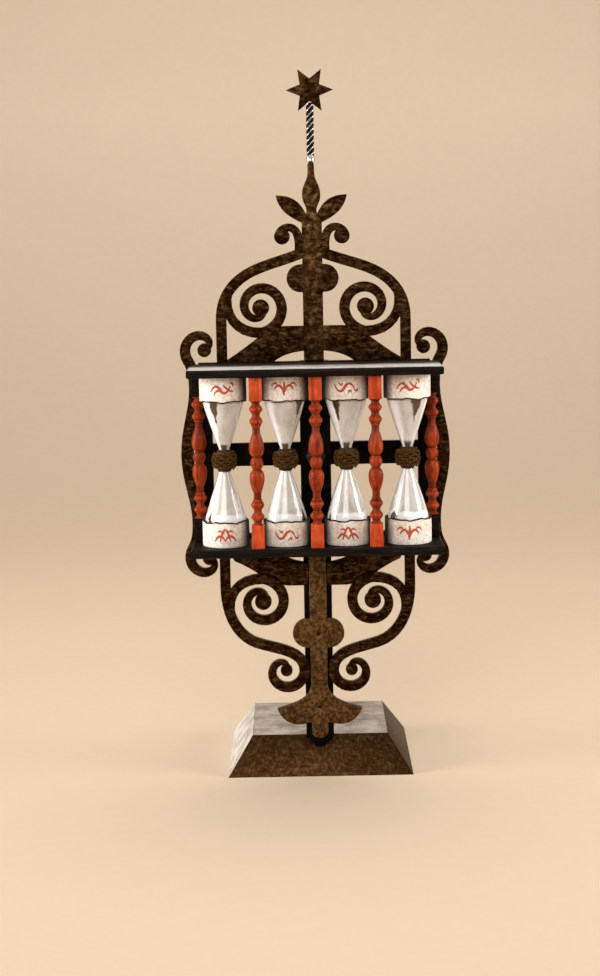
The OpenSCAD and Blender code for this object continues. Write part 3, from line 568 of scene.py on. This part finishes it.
# paper, ink, leather, cord and sand
paperLook = {
    "dark": (0.60, 0.52, 0.44), "middle": (0.81, 0.73, 0.64), "light": (0.96, 0.92, 0.86),
    "sideShade": (0.018, 0.010, 0.006), "sideShadeStart": 0.62, "sideShadeEnd": 0.90, "sideShadeDepth": 0.96,
}


# painted shade: the caps' sides are darkened where they face each other, and left clean at the two ends of
# the row
def paintedSideShade(tree, look):
    sideways = reckon(tree, "ABSOLUTE", outwardPart(tree, "X"))
    along = reckon(tree, "ABSOLUTE", vectorPart(tree, placedCoords(tree), "X"))
    within = reckon(tree, "LESS_THAN", along, abs(glassX[0]))
    dark = spread(tree, sideways, 0.0, look["sideShadeDepth"], look["sideShadeStart"], look["sideShadeEnd"])
    return reckon(tree, "MULTIPLY", dark, within)


def laidPaper(name, look):
    material, tree, shader = newMaterial(name, look["middle"], 0.82, {"Specular IOR Level": 0.25})
    coords = placedCoords(tree)
    mottle = noise(tree, coords, 420, 4, 0.7)
    stain = noise(tree, coords, 42, 4, 0.6)
    fibre = noise(tree, placedCoords(tree, scale=(1, 1, 3)), 1500, 3, 0.6)
    base = ramp(tree, mottle, [(0.34, look["dark"]), (0.50, look["middle"]), (0.66, look["light"])])
    tint = ramp(tree, stain, [(0.30, (0.78, 0.74, 0.68)), (0.60, grey(1))])
    clean = mixColours(tree, 1.0, base, tint, "MULTIPLY")
    # painted shade on the caps' facing sides
    sideShaded = mixColours(tree, paintedSideShade(tree, look), clean, look["sideShade"])
    tree.links.new(sideShaded, shader.inputs["Base Color"])
    bump(tree, shader, [(stain, 0.35, 0.0010), (mottle, 0.3, 0.0003), (fibre, 0.25, 0.0001)])
    return material


def roughSkin(name, dark, light, scale, roughness, height):
    material, tree, shader = newMaterial(name, light, roughness, {"Specular IOR Level": 0.06})
    coords = placedCoords(tree)
    mottle = noise(tree, coords, scale, 5, 0.65)
    cells = addNode(tree, "ShaderNodeTexVoronoi", {"Scale": scale * 1.6})
    tree.links.new(coords, cells.inputs["Vector"])
    tree.links.new(ramp(tree, mottle, [(0.34, dark), (0.68, light)]), shader.inputs["Base Color"])
    varyRoughness(tree, shader, mottle, roughness + 0.1, roughness - 0.1)
    bump(tree, shader, [(cells.outputs["Distance"], 0.4, height), (mottle, 0.4, height)])
    return material


capPaper = laidPaper("capPaper", paperLook)
redInk = roughSkin("redInk", (0.34, 0.060, 0.032), (0.56, 0.115, 0.060), 500, 0.6, 0.0001)
darkEdgeBand = roughSkin("darkEdgeBand", (0.012, 0.007, 0.004), (0.075, 0.046, 0.025), 260, 0.55, 0.0004)
sleeveLeather = roughSkin("sleeveLeather", (0.022, 0.012, 0.006), (0.065, 0.038, 0.018), 420, 0.6, 0.0003)
waxedCord = roughSkin("waxedCord", (0.007, 0.0022, 0.0004), (0.16, 0.070, 0.017), 620, 0.65, 0.0003)
fineSand = roughSkin("fineSand", (0.72, 0.69, 0.63), (0.92, 0.90, 0.86), 2400, 0.9, 0.0003)
print("materials made")


# every forged, sawn or turned solid keeps its shape and gets rounded edges and its own surface
def roundedCopy(node, name, materials, body, width, segments=3):
    piece = linkObject(name, nodes[node].data.copy())
    piece.data.materials.clear()
    for material in materials:
        piece.data.materials.append(material)
    enterEdit(piece)
    bpy.ops.mesh.customdata_custom_splitnormals_clear()
    bpy.ops.mesh.remove_doubles(threshold=0.000003)
    bpy.ops.mesh.dissolve_limited(angle_limit=math.radians(0.5))
    leaveEdit()
    applyBevel(piece, width, segments)
    smoothPiece(piece)
    finishPiece(piece, body, [node])
    return piece


# rows of node, finished name and edge width; the braces take left and right
def roundAll(rows, material, body, segments=3):
    for node, name, width in rows:
        for side in ("left", "right") if "{}" in node else ("",):
            roundedCopy(node.format(side), name.format(side), [material], body, width * mm, segments)


wroughtEdges = [
    ("upper_stem", "upperStem", 2.6),
    ("{}_leaf", "{}Leaf", 2.4),
    ("{}_upper_arch", "{}UpperArch", 2.3),
    ("{}_upper_s_bar", "{}UpperBar", 2.5),
    ("{}_upper_scroll", "{}UpperScroll", 2.4),
    ("{}_side_scroll", "{}SideScroll", 2.4),
    ("lower_stem", "lowerStem", 2.6),
    ("{}_lower_arch", "{}LowerArch", 2.3),
    ("{}_lower_s_bar", "{}LowerBar", 2.5),
    ("{}_lower_scroll", "{}LowerScroll", 2.4),
    ("star", "starFinial", 0.9),
]
for row in wroughtEdges:
    iron = {"star": starIron, "lower_stem": stemIron}.get(row[0], wroughtIron)
    roundAll([row], iron, "stand", 4)

blackEdges = [
    ("post", "blackPost", 0.9),
    ("top_rail", "topRail", 0.8),
    ("bottom_rail", "bottomRail", 0.8),
    ("{}_upright", "{}Upright", 0.8),
    ("cross_bar", "crossBar", 0.8),
]
steelEdges = [
    ("pivot_pin", "pivotPin", 0.5),
    ("pivot_washers", "pivotWashers", 0.3),
    ("pivot_key", "pivotKey", 0.3),
]
roundAll(blackEdges, blackIron, "stand")
roundAll([("back_strap", "backStrap", 0.6)], blackIron, "case")
roundAll([("rivets", "flushRivets", 0.3)], wroughtIron, "stand")
roundAll(steelEdges, dullSteel, "stand", 2)
roundAll([("strap_nails", "strapNails", 0.3)], dullSteel, "case", 2)


# for the painted highlights on the top plate and the plinth: how level a top is, how far down it counts,
# how steep a slope is
highlightFaceSetup = {"level": 0.9, "depth": 1.5, "slope": -0.6}


# painted highlight: faces that look up along a piece's top get its second surface, and a slope to the left
# its third, both lighter where the light falls
def paintHighlightFaces(piece, node, setup):
    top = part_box(node)[1].z
    for face in piece.data.polygons:
        if face.normal.z > setup["level"] and face.center.z > top - setup["depth"] * mm:
            face.material_index = 1
        elif face.normal.x < setup["slope"] and len(piece.data.materials) > 2:
            face.material_index = 2


# the top plate's upper face gets the painted highlight wood
topPlate = roundedCopy("top_plate", "topPlate", [blackWood, paintedHighlightWood], "case", 0.5 * mm, 2)
paintHighlightFaces(topPlate, "top_plate", highlightFaceSetup)
roundedCopy("bottom_plate", "bottomPlate", [blackWood], "case", 0.5 * mm, 2)
print("ironwork and plates rounded")


# painted highlight: the plinth's top and left slope are painted bright where the light falls, its other
# sides keep their brown
plinthSurfaces = [plinthIron, plinthTopHighlight, plinthSlopeHighlight]
plinth = roundedCopy("plinth", "slopingPlinth", plinthSurfaces, "stand", 0.9 * mm)
paintHighlightFaces(plinth, "plinth", highlightFaceSetup)
print("plinth done")


# twisted rod: a square bar twisted cold, its flats painted dark as painted shade and its corners bright as
# painted highlight
rodSetup = {
    "side": 5.8, "height": 50, "turns": 2.25, "cuts": 72, "cornerWidth": 0.85,
    "collarRadius": 4.0, "collarHeight": 5, "collarLip": 0.7, "collarWaist": 0.9,
}


def twistedRod(setup):
    low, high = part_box("twisted_rod")
    centre = (low + high) / 2
    foot = low.z + setup["collarHeight"] * mm
    height = setup["height"] * mm
    side = setup["side"] * mm
    bar = newBlock((side, side, height), (0, 0, 0))
    # painted shade on the flats, painted highlight on the bevelled corners
    bar.data.materials.append(shadedFlats)
    bar.data.materials.append(brightSteel)
    applyBevel(bar, setup["cornerWidth"] * mm, 3, 40, 1)
    enterEdit(bar)
    bpy.ops.mesh.select_all(action="DESELECT")
    leaveEdit()
    for edge in bar.data.edges:
        a, b = (bar.data.vertices[i].co for i in edge.vertices)
        edge.select = abs(a.z - b.z) > height * 0.5
    bpy.ops.object.mode_set(mode="EDIT")
    bpy.ops.mesh.select_mode(type="EDGE")
    bpy.ops.mesh.subdivide(number_cuts=setup["cuts"])
    bpy.ops.mesh.select_mode(type="VERT")
    leaveEdit()
    twist = bar.modifiers.new("twist", "SIMPLE_DEFORM")
    twist.deform_method = "TWIST"
    twist.deform_axis = "Z"
    twist.angle = 2 * math.pi * setup["turns"]
    pickOnly(bar)
    bpy.ops.object.modifier_apply(modifier=twist.name)
    bar.data.transform(Matrix.Translation((centre.x, centre.y, foot + height / 2)))
    r, h = setup["collarRadius"] * mm, setup["collarHeight"] * mm
    lip = setup["collarLip"] * mm
    collar = spinProfile("collar", [
        (0, low.z), (r - lip, low.z), (r, low.z + lip), (r * setup["collarWaist"], low.z + h * 0.5),
        (r, low.z + h - lip), (r - lip, low.z + h), (0, low.z + h),
    ], (centre.x, centre.y), 48)
    collar.data.materials.append(brightSteel)
    rod = joinPieces("twistedRod", [bar, collar])
    smoothPiece(rod, 40)
    finishPiece(rod, "stand", ["twisted_rod"])


twistedRod(rodSetup)
print("twisted rod done")


# balusters: square blocks at the ends, turned vases, beads and a ring between them;
# each hollow is rows of radius and depth below its block, each bead runs from one depth to another
balusterSetup = {
    "block": 12.0, "blockHeight": 22, "blockEdge": 0.7, "waist": 4.4, "ring": 6.1, "ringHalf": 4.9,
    "quirkDepth": 0.5, "quirkAt": (0.3, 0.9), "shaftEnd": 5.7, "steps": 64,
    "vaseFoot": 6.5, "vaseBelly": (8.6, 10), "vaseTop": [(7.2, 39), (3.6, 30)],
    "neck": [(3.6, 24.6), (4.1, 24.0), (4.7, 23.3), (4.4, 22.8)],
    "cove": [(4.2, 15.2), (3.7, 14.2), (3.6, 13.2), (3.8, 12.0), (4.3, 11.3)],
    "foot": [(4.1, 4.2), (3.7, 3.2), (3.9, 1.8), (4.8, 0.8)],
    "bead": 6.25, "lowerBead": (22.4, 15.6), "upperBead": (11, 4.6),
    "tenon": 3.0, "tenonLength": 7.5, "tenonEdge": 0.4,
}


def beadLine(z0, z1, rLow, rHigh, steps=8):
    shares = [i / steps for i in range(steps + 1)]
    return [(rLow + (rHigh - rLow) * math.sin(math.pi * t), z0 + (z1 - z0) * t) for t in shares]


def halfProfile(setup):
    top = caseHalf / mm - setup["blockHeight"]
    waist, ringHalf = setup["waist"], setup["ringHalf"]
    swell = setup["ring"] - waist
    hollows = {key: [(r, top - z) for r, z in setup[key]] for key in ("vaseTop", "neck", "cove", "foot")}
    beads = []
    for key in ("lowerBead", "upperBead"):
        low, high = (top - z for z in setup[key])
        beads.append(beadLine(low, high, waist, setup["bead"]))
    line = [(waist + swell * math.cos(math.pi / 2 * i / 6), ringHalf * i / 6) for i in range(7)]
    line += [(waist - setup["quirkDepth"], ringHalf + z) for z in setup["quirkAt"]]
    line += cubicLine([(waist, setup["vaseFoot"]), setup["vaseBelly"], *hollows["vaseTop"]], 18)
    line += hollows["neck"] + beads[0] + hollows["cove"] + beads[1] + hollows["foot"]
    return line + [(setup["shaftEnd"], top)]


def turnBaluster(name, setup, centre, blockWood):
    half = halfProfile(setup)
    inside = caseHalf - setup["blockHeight"] * mm + 1 * mm
    shaftEnd = setup["shaftEnd"] * mm
    line = [(0, pivotZ - inside), (shaftEnd, pivotZ - inside)]
    line += [(r * mm, pivotZ - z * mm) for r, z in reversed(half[1:])]
    line += [(r * mm, pivotZ + z * mm) for r, z in half]
    line += [(shaftEnd, pivotZ + inside), (0, pivotZ + inside)]
    shaft = spinProfile("shaft", line, centre, setup["steps"])
    shaft.data.materials.append(shadedTurnedWood)
    parts = [shaft]
    width, height = setup["block"] * mm, setup["blockHeight"] * mm
    r, edge = setup["tenon"] * mm, setup["tenonEdge"] * mm
    for end in (-1, 1):
        middle = pivotZ + end * (caseHalf - height / 2)
        block = newBlock((width, width, height), (*centre, middle))
        block.data.materials.append(blockWood)
        applyBevel(block, setup["blockEdge"] * mm)
        parts.append(block)
        low, high = sorted((middle, pivotZ + end * (caseHalf + setup["tenonLength"] * mm)))
        ends = [(0, low), (r - edge, low), (r, low + edge), (r, high - edge), (r - edge, high), (0, high)]
        tenon = spinProfile("tenon", ends, centre, 32)
        # the upper tenon ends lie in the top plate's face and take its painted highlight
        tenon.data.materials.append(paintedHighlightWood if end > 0 else blackWood)
        parts.append(tenon)
    return joinPieces(name, parts)


balusterNodes = [
    ("left_end_baluster", "leftEndBaluster"),
    ("left_baluster", "leftBaluster"),
    ("middle_baluster", "middleBaluster"),
    ("right_baluster", "rightBaluster"),
    ("right_end_baluster", "rightEndBaluster"),
]
for node, name in balusterNodes:
    spot = middleOf(node)
    # painted shade: the blocks of the two end balusters, in shade at the back corners, are black wood
    # instead of red
    blockWood = blackWood if "end" in node else redWood
    baluster = turnBaluster(name, balusterSetup, (spot.x, spot.y), blockWood)
    smoothPiece(baluster, 35)
    finishPiece(baluster, "case", [node])
print("balusters turned")


# blown bulbs, thin walled, one above and one below each waist
bulbSetup = {
    "neck": 4.9, "bulb": 19.0, "wall": 1.2, "neckLength": 11, "shoulder": 54, "dome": 12,
    "start": 0.4, "endGap": 1.55, "capEnd": 1.5, "steps": 96, "flareSteps": 24, "domeSteps": 14,
    "flareOut": (3, 8), "flareIn": (2, 9),
}

# brown stains: bearing and half width in degrees, and how far they reach from the cap's edge
stains = {
    "upper": [(-27, 17, 26), (47, 17, 24), (-30, 15, 27), (24, 21, 26)],
    "lower": [(-48, 12, 11), (62, 16, 13), (-60, 8, 8), (-48, 20, 9)],
}


# how brown each point is: one in a stain's middle and less than nothing outside it
def keepStain(piece, centre, end, stain):
    bearing, half, reach = stain
    side = 1 if end == "upper" else -1
    layer = piece.data.attributes.new("stain", "FLOAT", "POINT")
    for vertex, value in zip(piece.data.vertices, layer.data):
        turn = math.degrees(math.atan2(vertex.co.x - centre[0], centre[1] - vertex.co.y))
        taper = 1 - (capEdge - side * (vertex.co.z - pivotZ)) / (reach * mm)
        near = min(abs((turn - b + 180) % 360 - 180) for b in (bearing, bearing + 180))
        value.value = min(1.0, max(-1.0, (half * min(taper, 1.0) - near) / half))


def bulbLine(setup, inset):
    neck, bulb = setup["neck"] - inset, setup["bulb"] - inset
    neckEnd, shoulder = setup["neckLength"], setup["shoulder"]
    endLength = caseHalf / mm - setup["endGap"] - inset
    straightEnd = caseHalf / mm - setup["capEnd"] - setup["dome"]
    line = [(neck, setup["start"]), (neck, neckEnd * 0.5)]
    (outR, outZ), (inR, inZ) = setup["flareOut"], setup["flareIn"]
    flare = [(neck, neckEnd), (neck + outR, neckEnd + outZ), (bulb - inR, shoulder - inZ), (bulb, shoulder)]
    line += cubicLine(flare, setup["flareSteps"])
    for i in range(setup["domeSteps"] + 1):
        angle = math.pi / 2 * i / setup["domeSteps"]
        line.append((bulb * math.cos(angle), straightEnd + (endLength - straightEnd) * math.sin(angle)))
    return [(max(r, 0), z) for r, z in line]


def blowBulb(setup, centre):
    outer = bulbLine(setup, 0)
    inner = bulbLine(setup, setup["wall"])
    line = [(r * mm, pivotZ + z * mm) for r, z in outer + inner[::-1]]
    for tip in (len(outer) - 1, len(outer)):
        line[tip] = (0, line[tip][1])
    bulb = spinProfile("bulb", line + [line[0]], centre, setup["steps"])
    bulb.data.materials.append(clearGlass)
    return bulb


firstGlass = (glassX[0], glassY)
firstBulb = blowBulb(bulbSetup, firstGlass)
for i in range(glassCount):
    shift = Matrix.Translation((glassX[i] - glassX[0], 0, 0))
    for end, turn in (("upper", Matrix.Identity(4)), ("lower", turnedOver(firstGlass))):
        bulb = copyPiece(firstBulb, f"{end}Bulb{i + 1}", shift @ turn)
        smoothPiece(bulb, 50)
        keepBearings(bulb, (glassX[i], glassY))
        keepStain(bulb, (glassX[i], glassY), end, stains[end][i])
        finishPiece(bulb, "case", [f"glass_{i + 1}_{end}_bulb"])
bpy.data.objects.remove(firstBulb)
print("bulbs blown")


# paper caps with a soft uneven edge, a dark band along it and pen flourishes
capSetup = {
    "wall": 1.9, "end": 1.4, "edge": 0.8, "border": 1.3, "steps": 128,
    "wave": 0.55, "waveReach": 0.45, "pull": 0.006, "pulls": 11,
}
waveSums = [(5, 1, 1), (9, 0.6, 2.3), (17, 0.35, 1.1)]


def wavyEdge(angle, seed):
    return sum(height * math.sin(count * angle + start * seed) for count, height, start in waveSums)


def foldCap(setup, centre, seed):
    r, wall = capRadius, setup["wall"] * mm
    top = pivotZ + caseHalf
    rim, inside = top - capHeight, top - setup["end"] * mm
    border, edge = setup["border"] * mm, setup["edge"] * mm
    line = [(0, top), (r - edge, top), (r - 0.25 * edge, top - 0.25 * edge), (r, top - edge)]
    line += [(r, rim + (top - rim) * k / 6) for k in (5, 4, 3, 2)]
    line += [(r, rim + border), (r - 0.05 * mm, rim + border * 0.5), (r - 0.3 * wall, rim)]
    line += [(r - 0.7 * wall, rim), (r - wall, rim + border * 0.5), (r - wall, inside), (0, inside)]
    cap = spinProfile("cap", line, centre, setup["steps"])
    for vertex in cap.data.vertices:
        x, y = vertex.co.x - centre[0], vertex.co.y - centre[1]
        near = max(0.0, 1 - (vertex.co.z - rim) / (capHeight * setup["waveReach"]))
        if near > 0 and math.hypot(x, y) > capRadius * 0.5:
            angle = math.atan2(y, x)
            vertex.co.z += setup["wave"] * mm * wavyEdge(angle, seed) * near
            pull = 1 - setup["pull"] * near * (1 + math.sin(setup["pulls"] * angle + seed))
            vertex.co.x = centre[0] + x * pull
            vertex.co.y = centre[1] + y * pull
    cap.data.materials.append(capPaper)
    cap.data.materials.append(darkEdgeBand)
    # the faces along the cap's lower edge get the dark band
    for face in cap.data.polygons:
        x, y = face.center.x - centre[0], face.center.y - centre[1]
        height = face.center.z - rim - setup["wave"] * mm * wavyEdge(math.atan2(y, x), seed)
        if height < border and math.hypot(x, y) > capRadius - wall * 1.2:
            face.material_index = 1
    return cap


# each stroke and its mirror image
def bothSides(strokes):
    return [([(side * x, z) for x, z in points], thick) for points, thick in strokes for side in (1, -1)]


# flourishes in millimetres, along the cap and up it; each stroke has its own thickness
flourishes = {
    "plume": bothSides([
        ([(-9, -1), (-6, 5), (-2, 4), (-0.5, -4)], 0.55),
        ([(-12, 2), (-10, 6), (-6.5, 6), (-6, 2.5)], 0.42),
    ]) + [([(0, -6.5), (-1.2, -2), (1.2, 2), (0, 6.5)], 0.6)],
    "waves": [
        ([(-11, -2.5), (-7, 5), (-4, 4), (-1, -1), (1.5, -5), (5, -4), (8, 3.5)], 0.6),
        ([(-8, -5.5), (-5, 0), (-2.5, 0.5), (0.5, -4)], 0.45),
        ([(1, 4.5), (4, 0.5), (7, -2), (11, -2)], 0.5),
        ([(7.5, 5.5), (9.5, 6.8), (11.5, 4.5), (10, 2.8)], 0.42),
    ],
    "fan": bothSides([
        ([(-10, -5), (-7, 1), (-3, 2), (0, -5)], 0.55),
        ([(-5, -5.5), (-3, 3), (-1, 6), (0, 6.5)], 0.5),
        ([(-7, 3.5), (-5.5, 5.5), (-3.5, 5), (-3, 3)], 0.4),
    ]),
    "vine": [
        ([(-11, 3), (-8, -5), (-4, -5), (-1.5, 0), (1, 5), (5, 5), (7.5, -1)], 0.6),
        ([(-7, 5), (-5, 1.5), (-3.5, 2), (-3.5, 4.5)], 0.42),
        ([(1.5, -5.5), (3, -1.5), (5, -2.5), (4.6, -5)], 0.42),
        ([(7.5, -1), (9, -4.5), (11.5, -3.5), (11, -0.5)], 0.48),
    ],
}
strokeSetup = {"steps": 12, "sides": 6, "weight": 2.2, "thinnest": 0.35, "proud": 0.08, "round": 0.10}


# a stroke lies on the cap's round wall: along becomes angle, and it stands a little proud
def penStroke(setup, points, thick, facing, middleZ, flip):
    path = cubicLine(points, setup["steps"])
    count, sides, thinnest = len(path), setup["sides"], setup["thinnest"]
    verts = []
    for i, (along, up) in enumerate(path):
        before, after = path[max(i - 1, 0)], path[min(i + 1, count - 1)]
        dx, dz = after[0] - before[0], after[1] - before[1]
        length = math.hypot(dx, dz) or 1
        side = (-dz / length, dx / length)
        fullness = thinnest + (1 - thinnest) * math.sin(math.pi * (i + 0.5) / count)
        swell = thick * setup["weight"] * fullness
        for k in range(sides):
            turn = 2 * math.pi * k / sides
            u = (along + side[0] * swell * math.cos(turn)) * mm
            v = (up + side[1] * swell * math.cos(turn)) * mm * flip
            lift = capRadius + (setup["proud"] + setup["round"] * math.sin(turn)) * mm
            angle = facing + u / capRadius
            verts.append((lift * math.sin(angle), -lift * math.cos(angle), middleZ + v))
    return verts


def drawFlourish(setup, strokes, centre, facing, middleZ, flip):
    verts, faces = [], []
    for points, thick in strokes:
        stroke = penStroke(setup, points, thick, facing, middleZ, flip)
        faces += tubeFaces(len(verts), len(stroke) // setup["sides"], setup["sides"])
        verts += [(x + centre[0], y + centre[1], z) for x, y, z in stroke]
    piece = newPiece("flourish", verts, (), faces)
    piece.data.materials.append(redInk)
    faceOutwards(piece)
    smoothPiece(piece, 60)
    return piece


# each glass's mark on its upper cap and its lower one; behind, the two change places
upperOrder = ["waves", "plume", "vine", "waves"]
lowerOrder = ["fan", "vine", "fan", "plume"]
markPlaces = [
    (upperOrder, 0, 1, 1), (lowerOrder, 0, -1, 1),
    (lowerOrder, math.pi, 1, -1), (upperOrder, math.pi, -1, 1),
]
markDrop = 11.5 * mm
for i in range(glassCount):
    centre = (glassX[i], glassY)
    upper = foldCap(capSetup, centre, 1.3 * i)
    under = foldCap(capSetup, centre, 1.3 * i + 2.1)
    under.data.transform(turnedOver(centre))
    caps = joinPieces(f"paperCaps{i + 1}", [upper, under])
    smoothPiece(caps, 40)
    keepBearings(caps, centre)
    finishPiece(caps, "case", [f"glass_{i + 1}_paper_caps"])
    marks = []
    for order, facing, end, flip in markPlaces:
        middleZ = pivotZ + end * (caseHalf - markDrop)
        marks.append(drawFlourish(strokeSetup, flourishes[order[i]], centre, facing, middleZ, flip))
    flourish = joinPieces(f"penFlourishes{i + 1}", marks)
    finishPiece(flourish, "case", [])
print("caps folded and drawn")


# leather sleeves over the necks, drawn in where the cord bites
sleeveSetup = {
    "half": 10.3, "end": 5.9, "mid": 8.8, "bore": 5.0, "pitch": 2.65, "turns": 6, "bite": 0.22,
    "lip": 0.35, "pucker": 0.012, "puckers": 13, "slant": 900, "steps": 72, "rings": 60,
}


def sleeveRadius(z, setup):
    bulge = math.cos(math.pi / 2 * min(1, abs(z) / setup["half"]))
    return setup["end"] + (setup["mid"] - setup["end"]) * bulge


def sewSleeve(setup, centre):
    half, count = setup["half"], setup["rings"]
    reach = setup["pitch"] * setup["turns"] / 2
    outer = []
    for k in range(count + 1):
        z = -half + 2 * half * k / count
        bite = setup["bite"] * math.cos(2 * math.pi * z / setup["pitch"]) if abs(z) < reach else 0
        outer.append(((sleeveRadius(z, setup) - bite) * mm, pivotZ + z * mm))
    lip, bore = setup["lip"] * mm, setup["bore"] * mm
    line = outer + [(outer[-1][0] - lip, outer[-1][1]), (bore, outer[-1][1] - lip)]
    line += [(bore, outer[0][1] + lip), (outer[0][0] - lip, outer[0][1])]
    sleeve = spinProfile("sleeve", line, centre, setup["steps"], closed=True)
    for vertex in sleeve.data.vertices:
        x, y = vertex.co.x - centre[0], vertex.co.y - centre[1]
        if math.hypot(x, y) > bore + 0.3 * mm:
            phase = setup["puckers"] * math.atan2(y, x) + setup["slant"] * (vertex.co.z - pivotZ)
            pucker = 1 + setup["pucker"] * math.sin(phase)
            vertex.co.x, vertex.co.y = centre[0] + x * pucker, centre[1] + y * pucker
    sleeve.data.materials.append(sleeveLeather)
    return sleeve


# the cord round each waist is laid up from three strands, and a thinner one crosses over it
cordSetup = {
    "gap": 0.25, "rings": 48, "sides": 8,
    "coil": {"diameter": 2.1, "strandRadius": 0.62, "strandOffset": 0.50, "lay": 5.0},
    "cross": {"diameter": 1.3, "strandRadius": 0.38, "strandOffset": 0.31, "lay": 3.2},
    "crossTurns": 7, "crossWaves": 8, "crossReach": 6.6, "crossBed": 0.35,
}


# turns round a sleeve, a set way off it, through a list of heights
def roundSleeve(rings, heights, sleeve, off):
    path = []
    for i, z in enumerate(heights):
        angle = 2 * math.pi * i / rings
        r = sleeveRadius(z, sleeve) + off
        path.append(Vector((r * math.cos(angle), r * math.sin(angle), z)))
    return path


def coilPath(setup, sleeve):
    thick, climb = setup["coil"]["diameter"], sleeve["pitch"] * sleeve["turns"]
    count = setup["rings"] * sleeve["turns"]
    heights = [climb * (i / count - 0.5) for i in range(count + 1)]
    path = roundSleeve(setup["rings"], heights, sleeve, thick / 2 + setup["gap"])
    path.insert(0, path[0] - (path[1] - path[0]).normalized() * thick)
    path.append(path[-1] + (path[-1] - path[-2]).normalized() * thick)
    return path


def crossPath(setup, sleeve):
    count = setup["rings"] * setup["crossTurns"]
    sweep = 2 * math.pi * setup["crossWaves"] / count
    heights = [setup["crossReach"] * math.sin(sweep * i) for i in range(count + 1)]
    off = setup["coil"]["diameter"] + setup["gap"] + setup["cross"]["diameter"] * setup["crossBed"]
    return roundSleeve(setup["rings"], heights, sleeve, off)


def layStrands(path, cord, sides, centre):
    along = [0.0]
    for a, b in zip(path, path[1:]):
        along.append(along[-1] + (b - a).length)
    verts, faces = [], []
    for strand in range(3):
        start = len(verts)
        for i, point in enumerate(path):
            ahead = (path[min(i + 1, len(path) - 1)] - path[max(i - 1, 0)]).normalized()
            out = Vector((point.x, point.y, 0)).normalized()
            across = ahead.cross(out).normalized()
            up = across.cross(ahead)
            phase = 2 * math.pi * (along[i] / cord["lay"] + strand / 3)
            middle = point + (up * math.cos(phase) + across * math.sin(phase)) * cord["strandOffset"]
            for k in range(sides):
                turn = 2 * math.pi * k / sides
                spot = middle + (up * math.cos(turn) + across * math.sin(turn)) * cord["strandRadius"]
                verts.append((centre[0] + spot.x * mm, centre[1] + spot.y * mm, pivotZ + spot.z * mm))
        faces += tubeFaces(start, len(path), sides)
    piece = newPiece("strands", verts, (), faces)
    piece.data.materials.append(waxedCord)
    return piece


def layCord(name, setup, sleeve, centre):
    coil = layStrands(coilPath(setup, sleeve), setup["coil"], setup["sides"], centre)
    cross = layStrands(crossPath(setup, sleeve), setup["cross"], setup["sides"], centre)
    cord = joinPieces(name, [coil, cross])
    faceOutwards(cord)
    return cord


sleeves = []
for i in range(glassCount):
    centre = (glassX[i], glassY)
    cord = layCord(f"waistCord{i + 1}", cordSetup, sleeveSetup, centre)
    smoothPiece(cord, 60)
    finishPiece(cord, "case", [f"glass_{i + 1}_waist_cord"])
    sleeves.append(sewSleeve(sleeveSetup, centre))
sleeveSet = joinPieces("waistSleeves", sleeves)
smoothPiece(sleeveSet, 50)
finishPiece(sleeveSet, "case", ["waist_sleeves"])
print("waists bound")


# nodes that keep their own solids
for node, material in (("sand", fineSand), ("diaphragms", sleeveLeather)):
    nodes[node].data.materials.clear()
    nodes[node].data.materials.append(material)


# floor, backdrop and lamps
stageSetup = {
    "floorColour": (0.60, 0.465, 0.335), "wallColour": (0.84, 0.68, 0.51),
    "wallLow": 0.05, "wallHigh": 0.75, "size": 9.0, "backY": 2.6, "height": 4.5, "round": 1.4,
    "world": 0.36, "worldColour": (1.0, 0.96, 0.90),
    "lamps": [
        ("leftLamp", (-3.96, -0.91, 1.09), (0, -0.10, 0.33), 2.0, 20.0, 50),
        ("rightLamp", (3.96, -0.91, 1.45), (0, -0.10, 0.33), 2.0, 16.0, 50),
        ("frontLamp", (-0.5, -2.7, 1.9), (0, -0.10, 0.30), 1.8, 54, 180),
        ("topLamp", (0.2, 0.6, 2.6), (0, 0.1, 0.25), 2.0, 34, 180),
    ],
}


def buildStage(setup):
    far, half, top = setup["backY"], setup["size"] / 2, setup["height"]
    near = far - setup["size"]
    ground = [(-half, near, 0), (half, near, 0), (half, far, 0), (-half, far, 0)]
    wall = [(half, far, top), (-half, far, top)]
    floor = newPiece("paleFloor", ground + wall, (), [(0, 1, 2, 3), (3, 2, 4, 5)])
    applyBevel(floor, setup["round"], 12, 30)
    smoothPiece(floor, 60)
    values = {"Specular IOR Level": 0.1}
    material, tree, shader = newMaterial("palePaper", setup["floorColour"], 0.9, values)
    mottle = noise(tree, placedCoords(tree), 60, 4, 0.6)
    height = vectorPart(tree, placedCoords(tree), "Z")
    rise = spread(tree, height, 0.0, 1.0, setup["wallLow"], setup["wallHigh"])
    plain = mixColours(tree, rise, setup["floorColour"], setup["wallColour"])
    uneven = ramp(tree, mottle, [(0.35, grey(0.98)), (0.65, grey(1))])
    tree.links.new(mixColours(tree, 1.0, plain, uneven, "MULTIPLY"), shader.inputs["Base Color"])
    floor.data.materials.append(material)


def hangLamps(setup):
    for name, place, aim, size, power, cone in setup["lamps"]:
        data = bpy.data.lights.new(name, "AREA")
        data.shape = "SQUARE"
        data.size = size
        data.energy = power
        data.spread = math.radians(cone)
        lamp = linkObject(name, data)
        lamp.location = place
        lamp.rotation_euler = (Vector(aim) - Vector(place)).to_track_quat("-Z", "Y").to_euler()
    world = bpy.data.worlds.new("softRoom")
    bpy.context.scene.world = world
    world.use_nodes = True
    background = world.node_tree.nodes["Background"]
    background.inputs["Color"].default_value = (*setup["worldColour"], 1)
    background.inputs["Strength"].default_value = setup["world"]


buildStage(stageSetup)
hangLamps(stageSetup)
bpy.context.scene.view_settings.view_transform = "Standard"
print("stage lit")
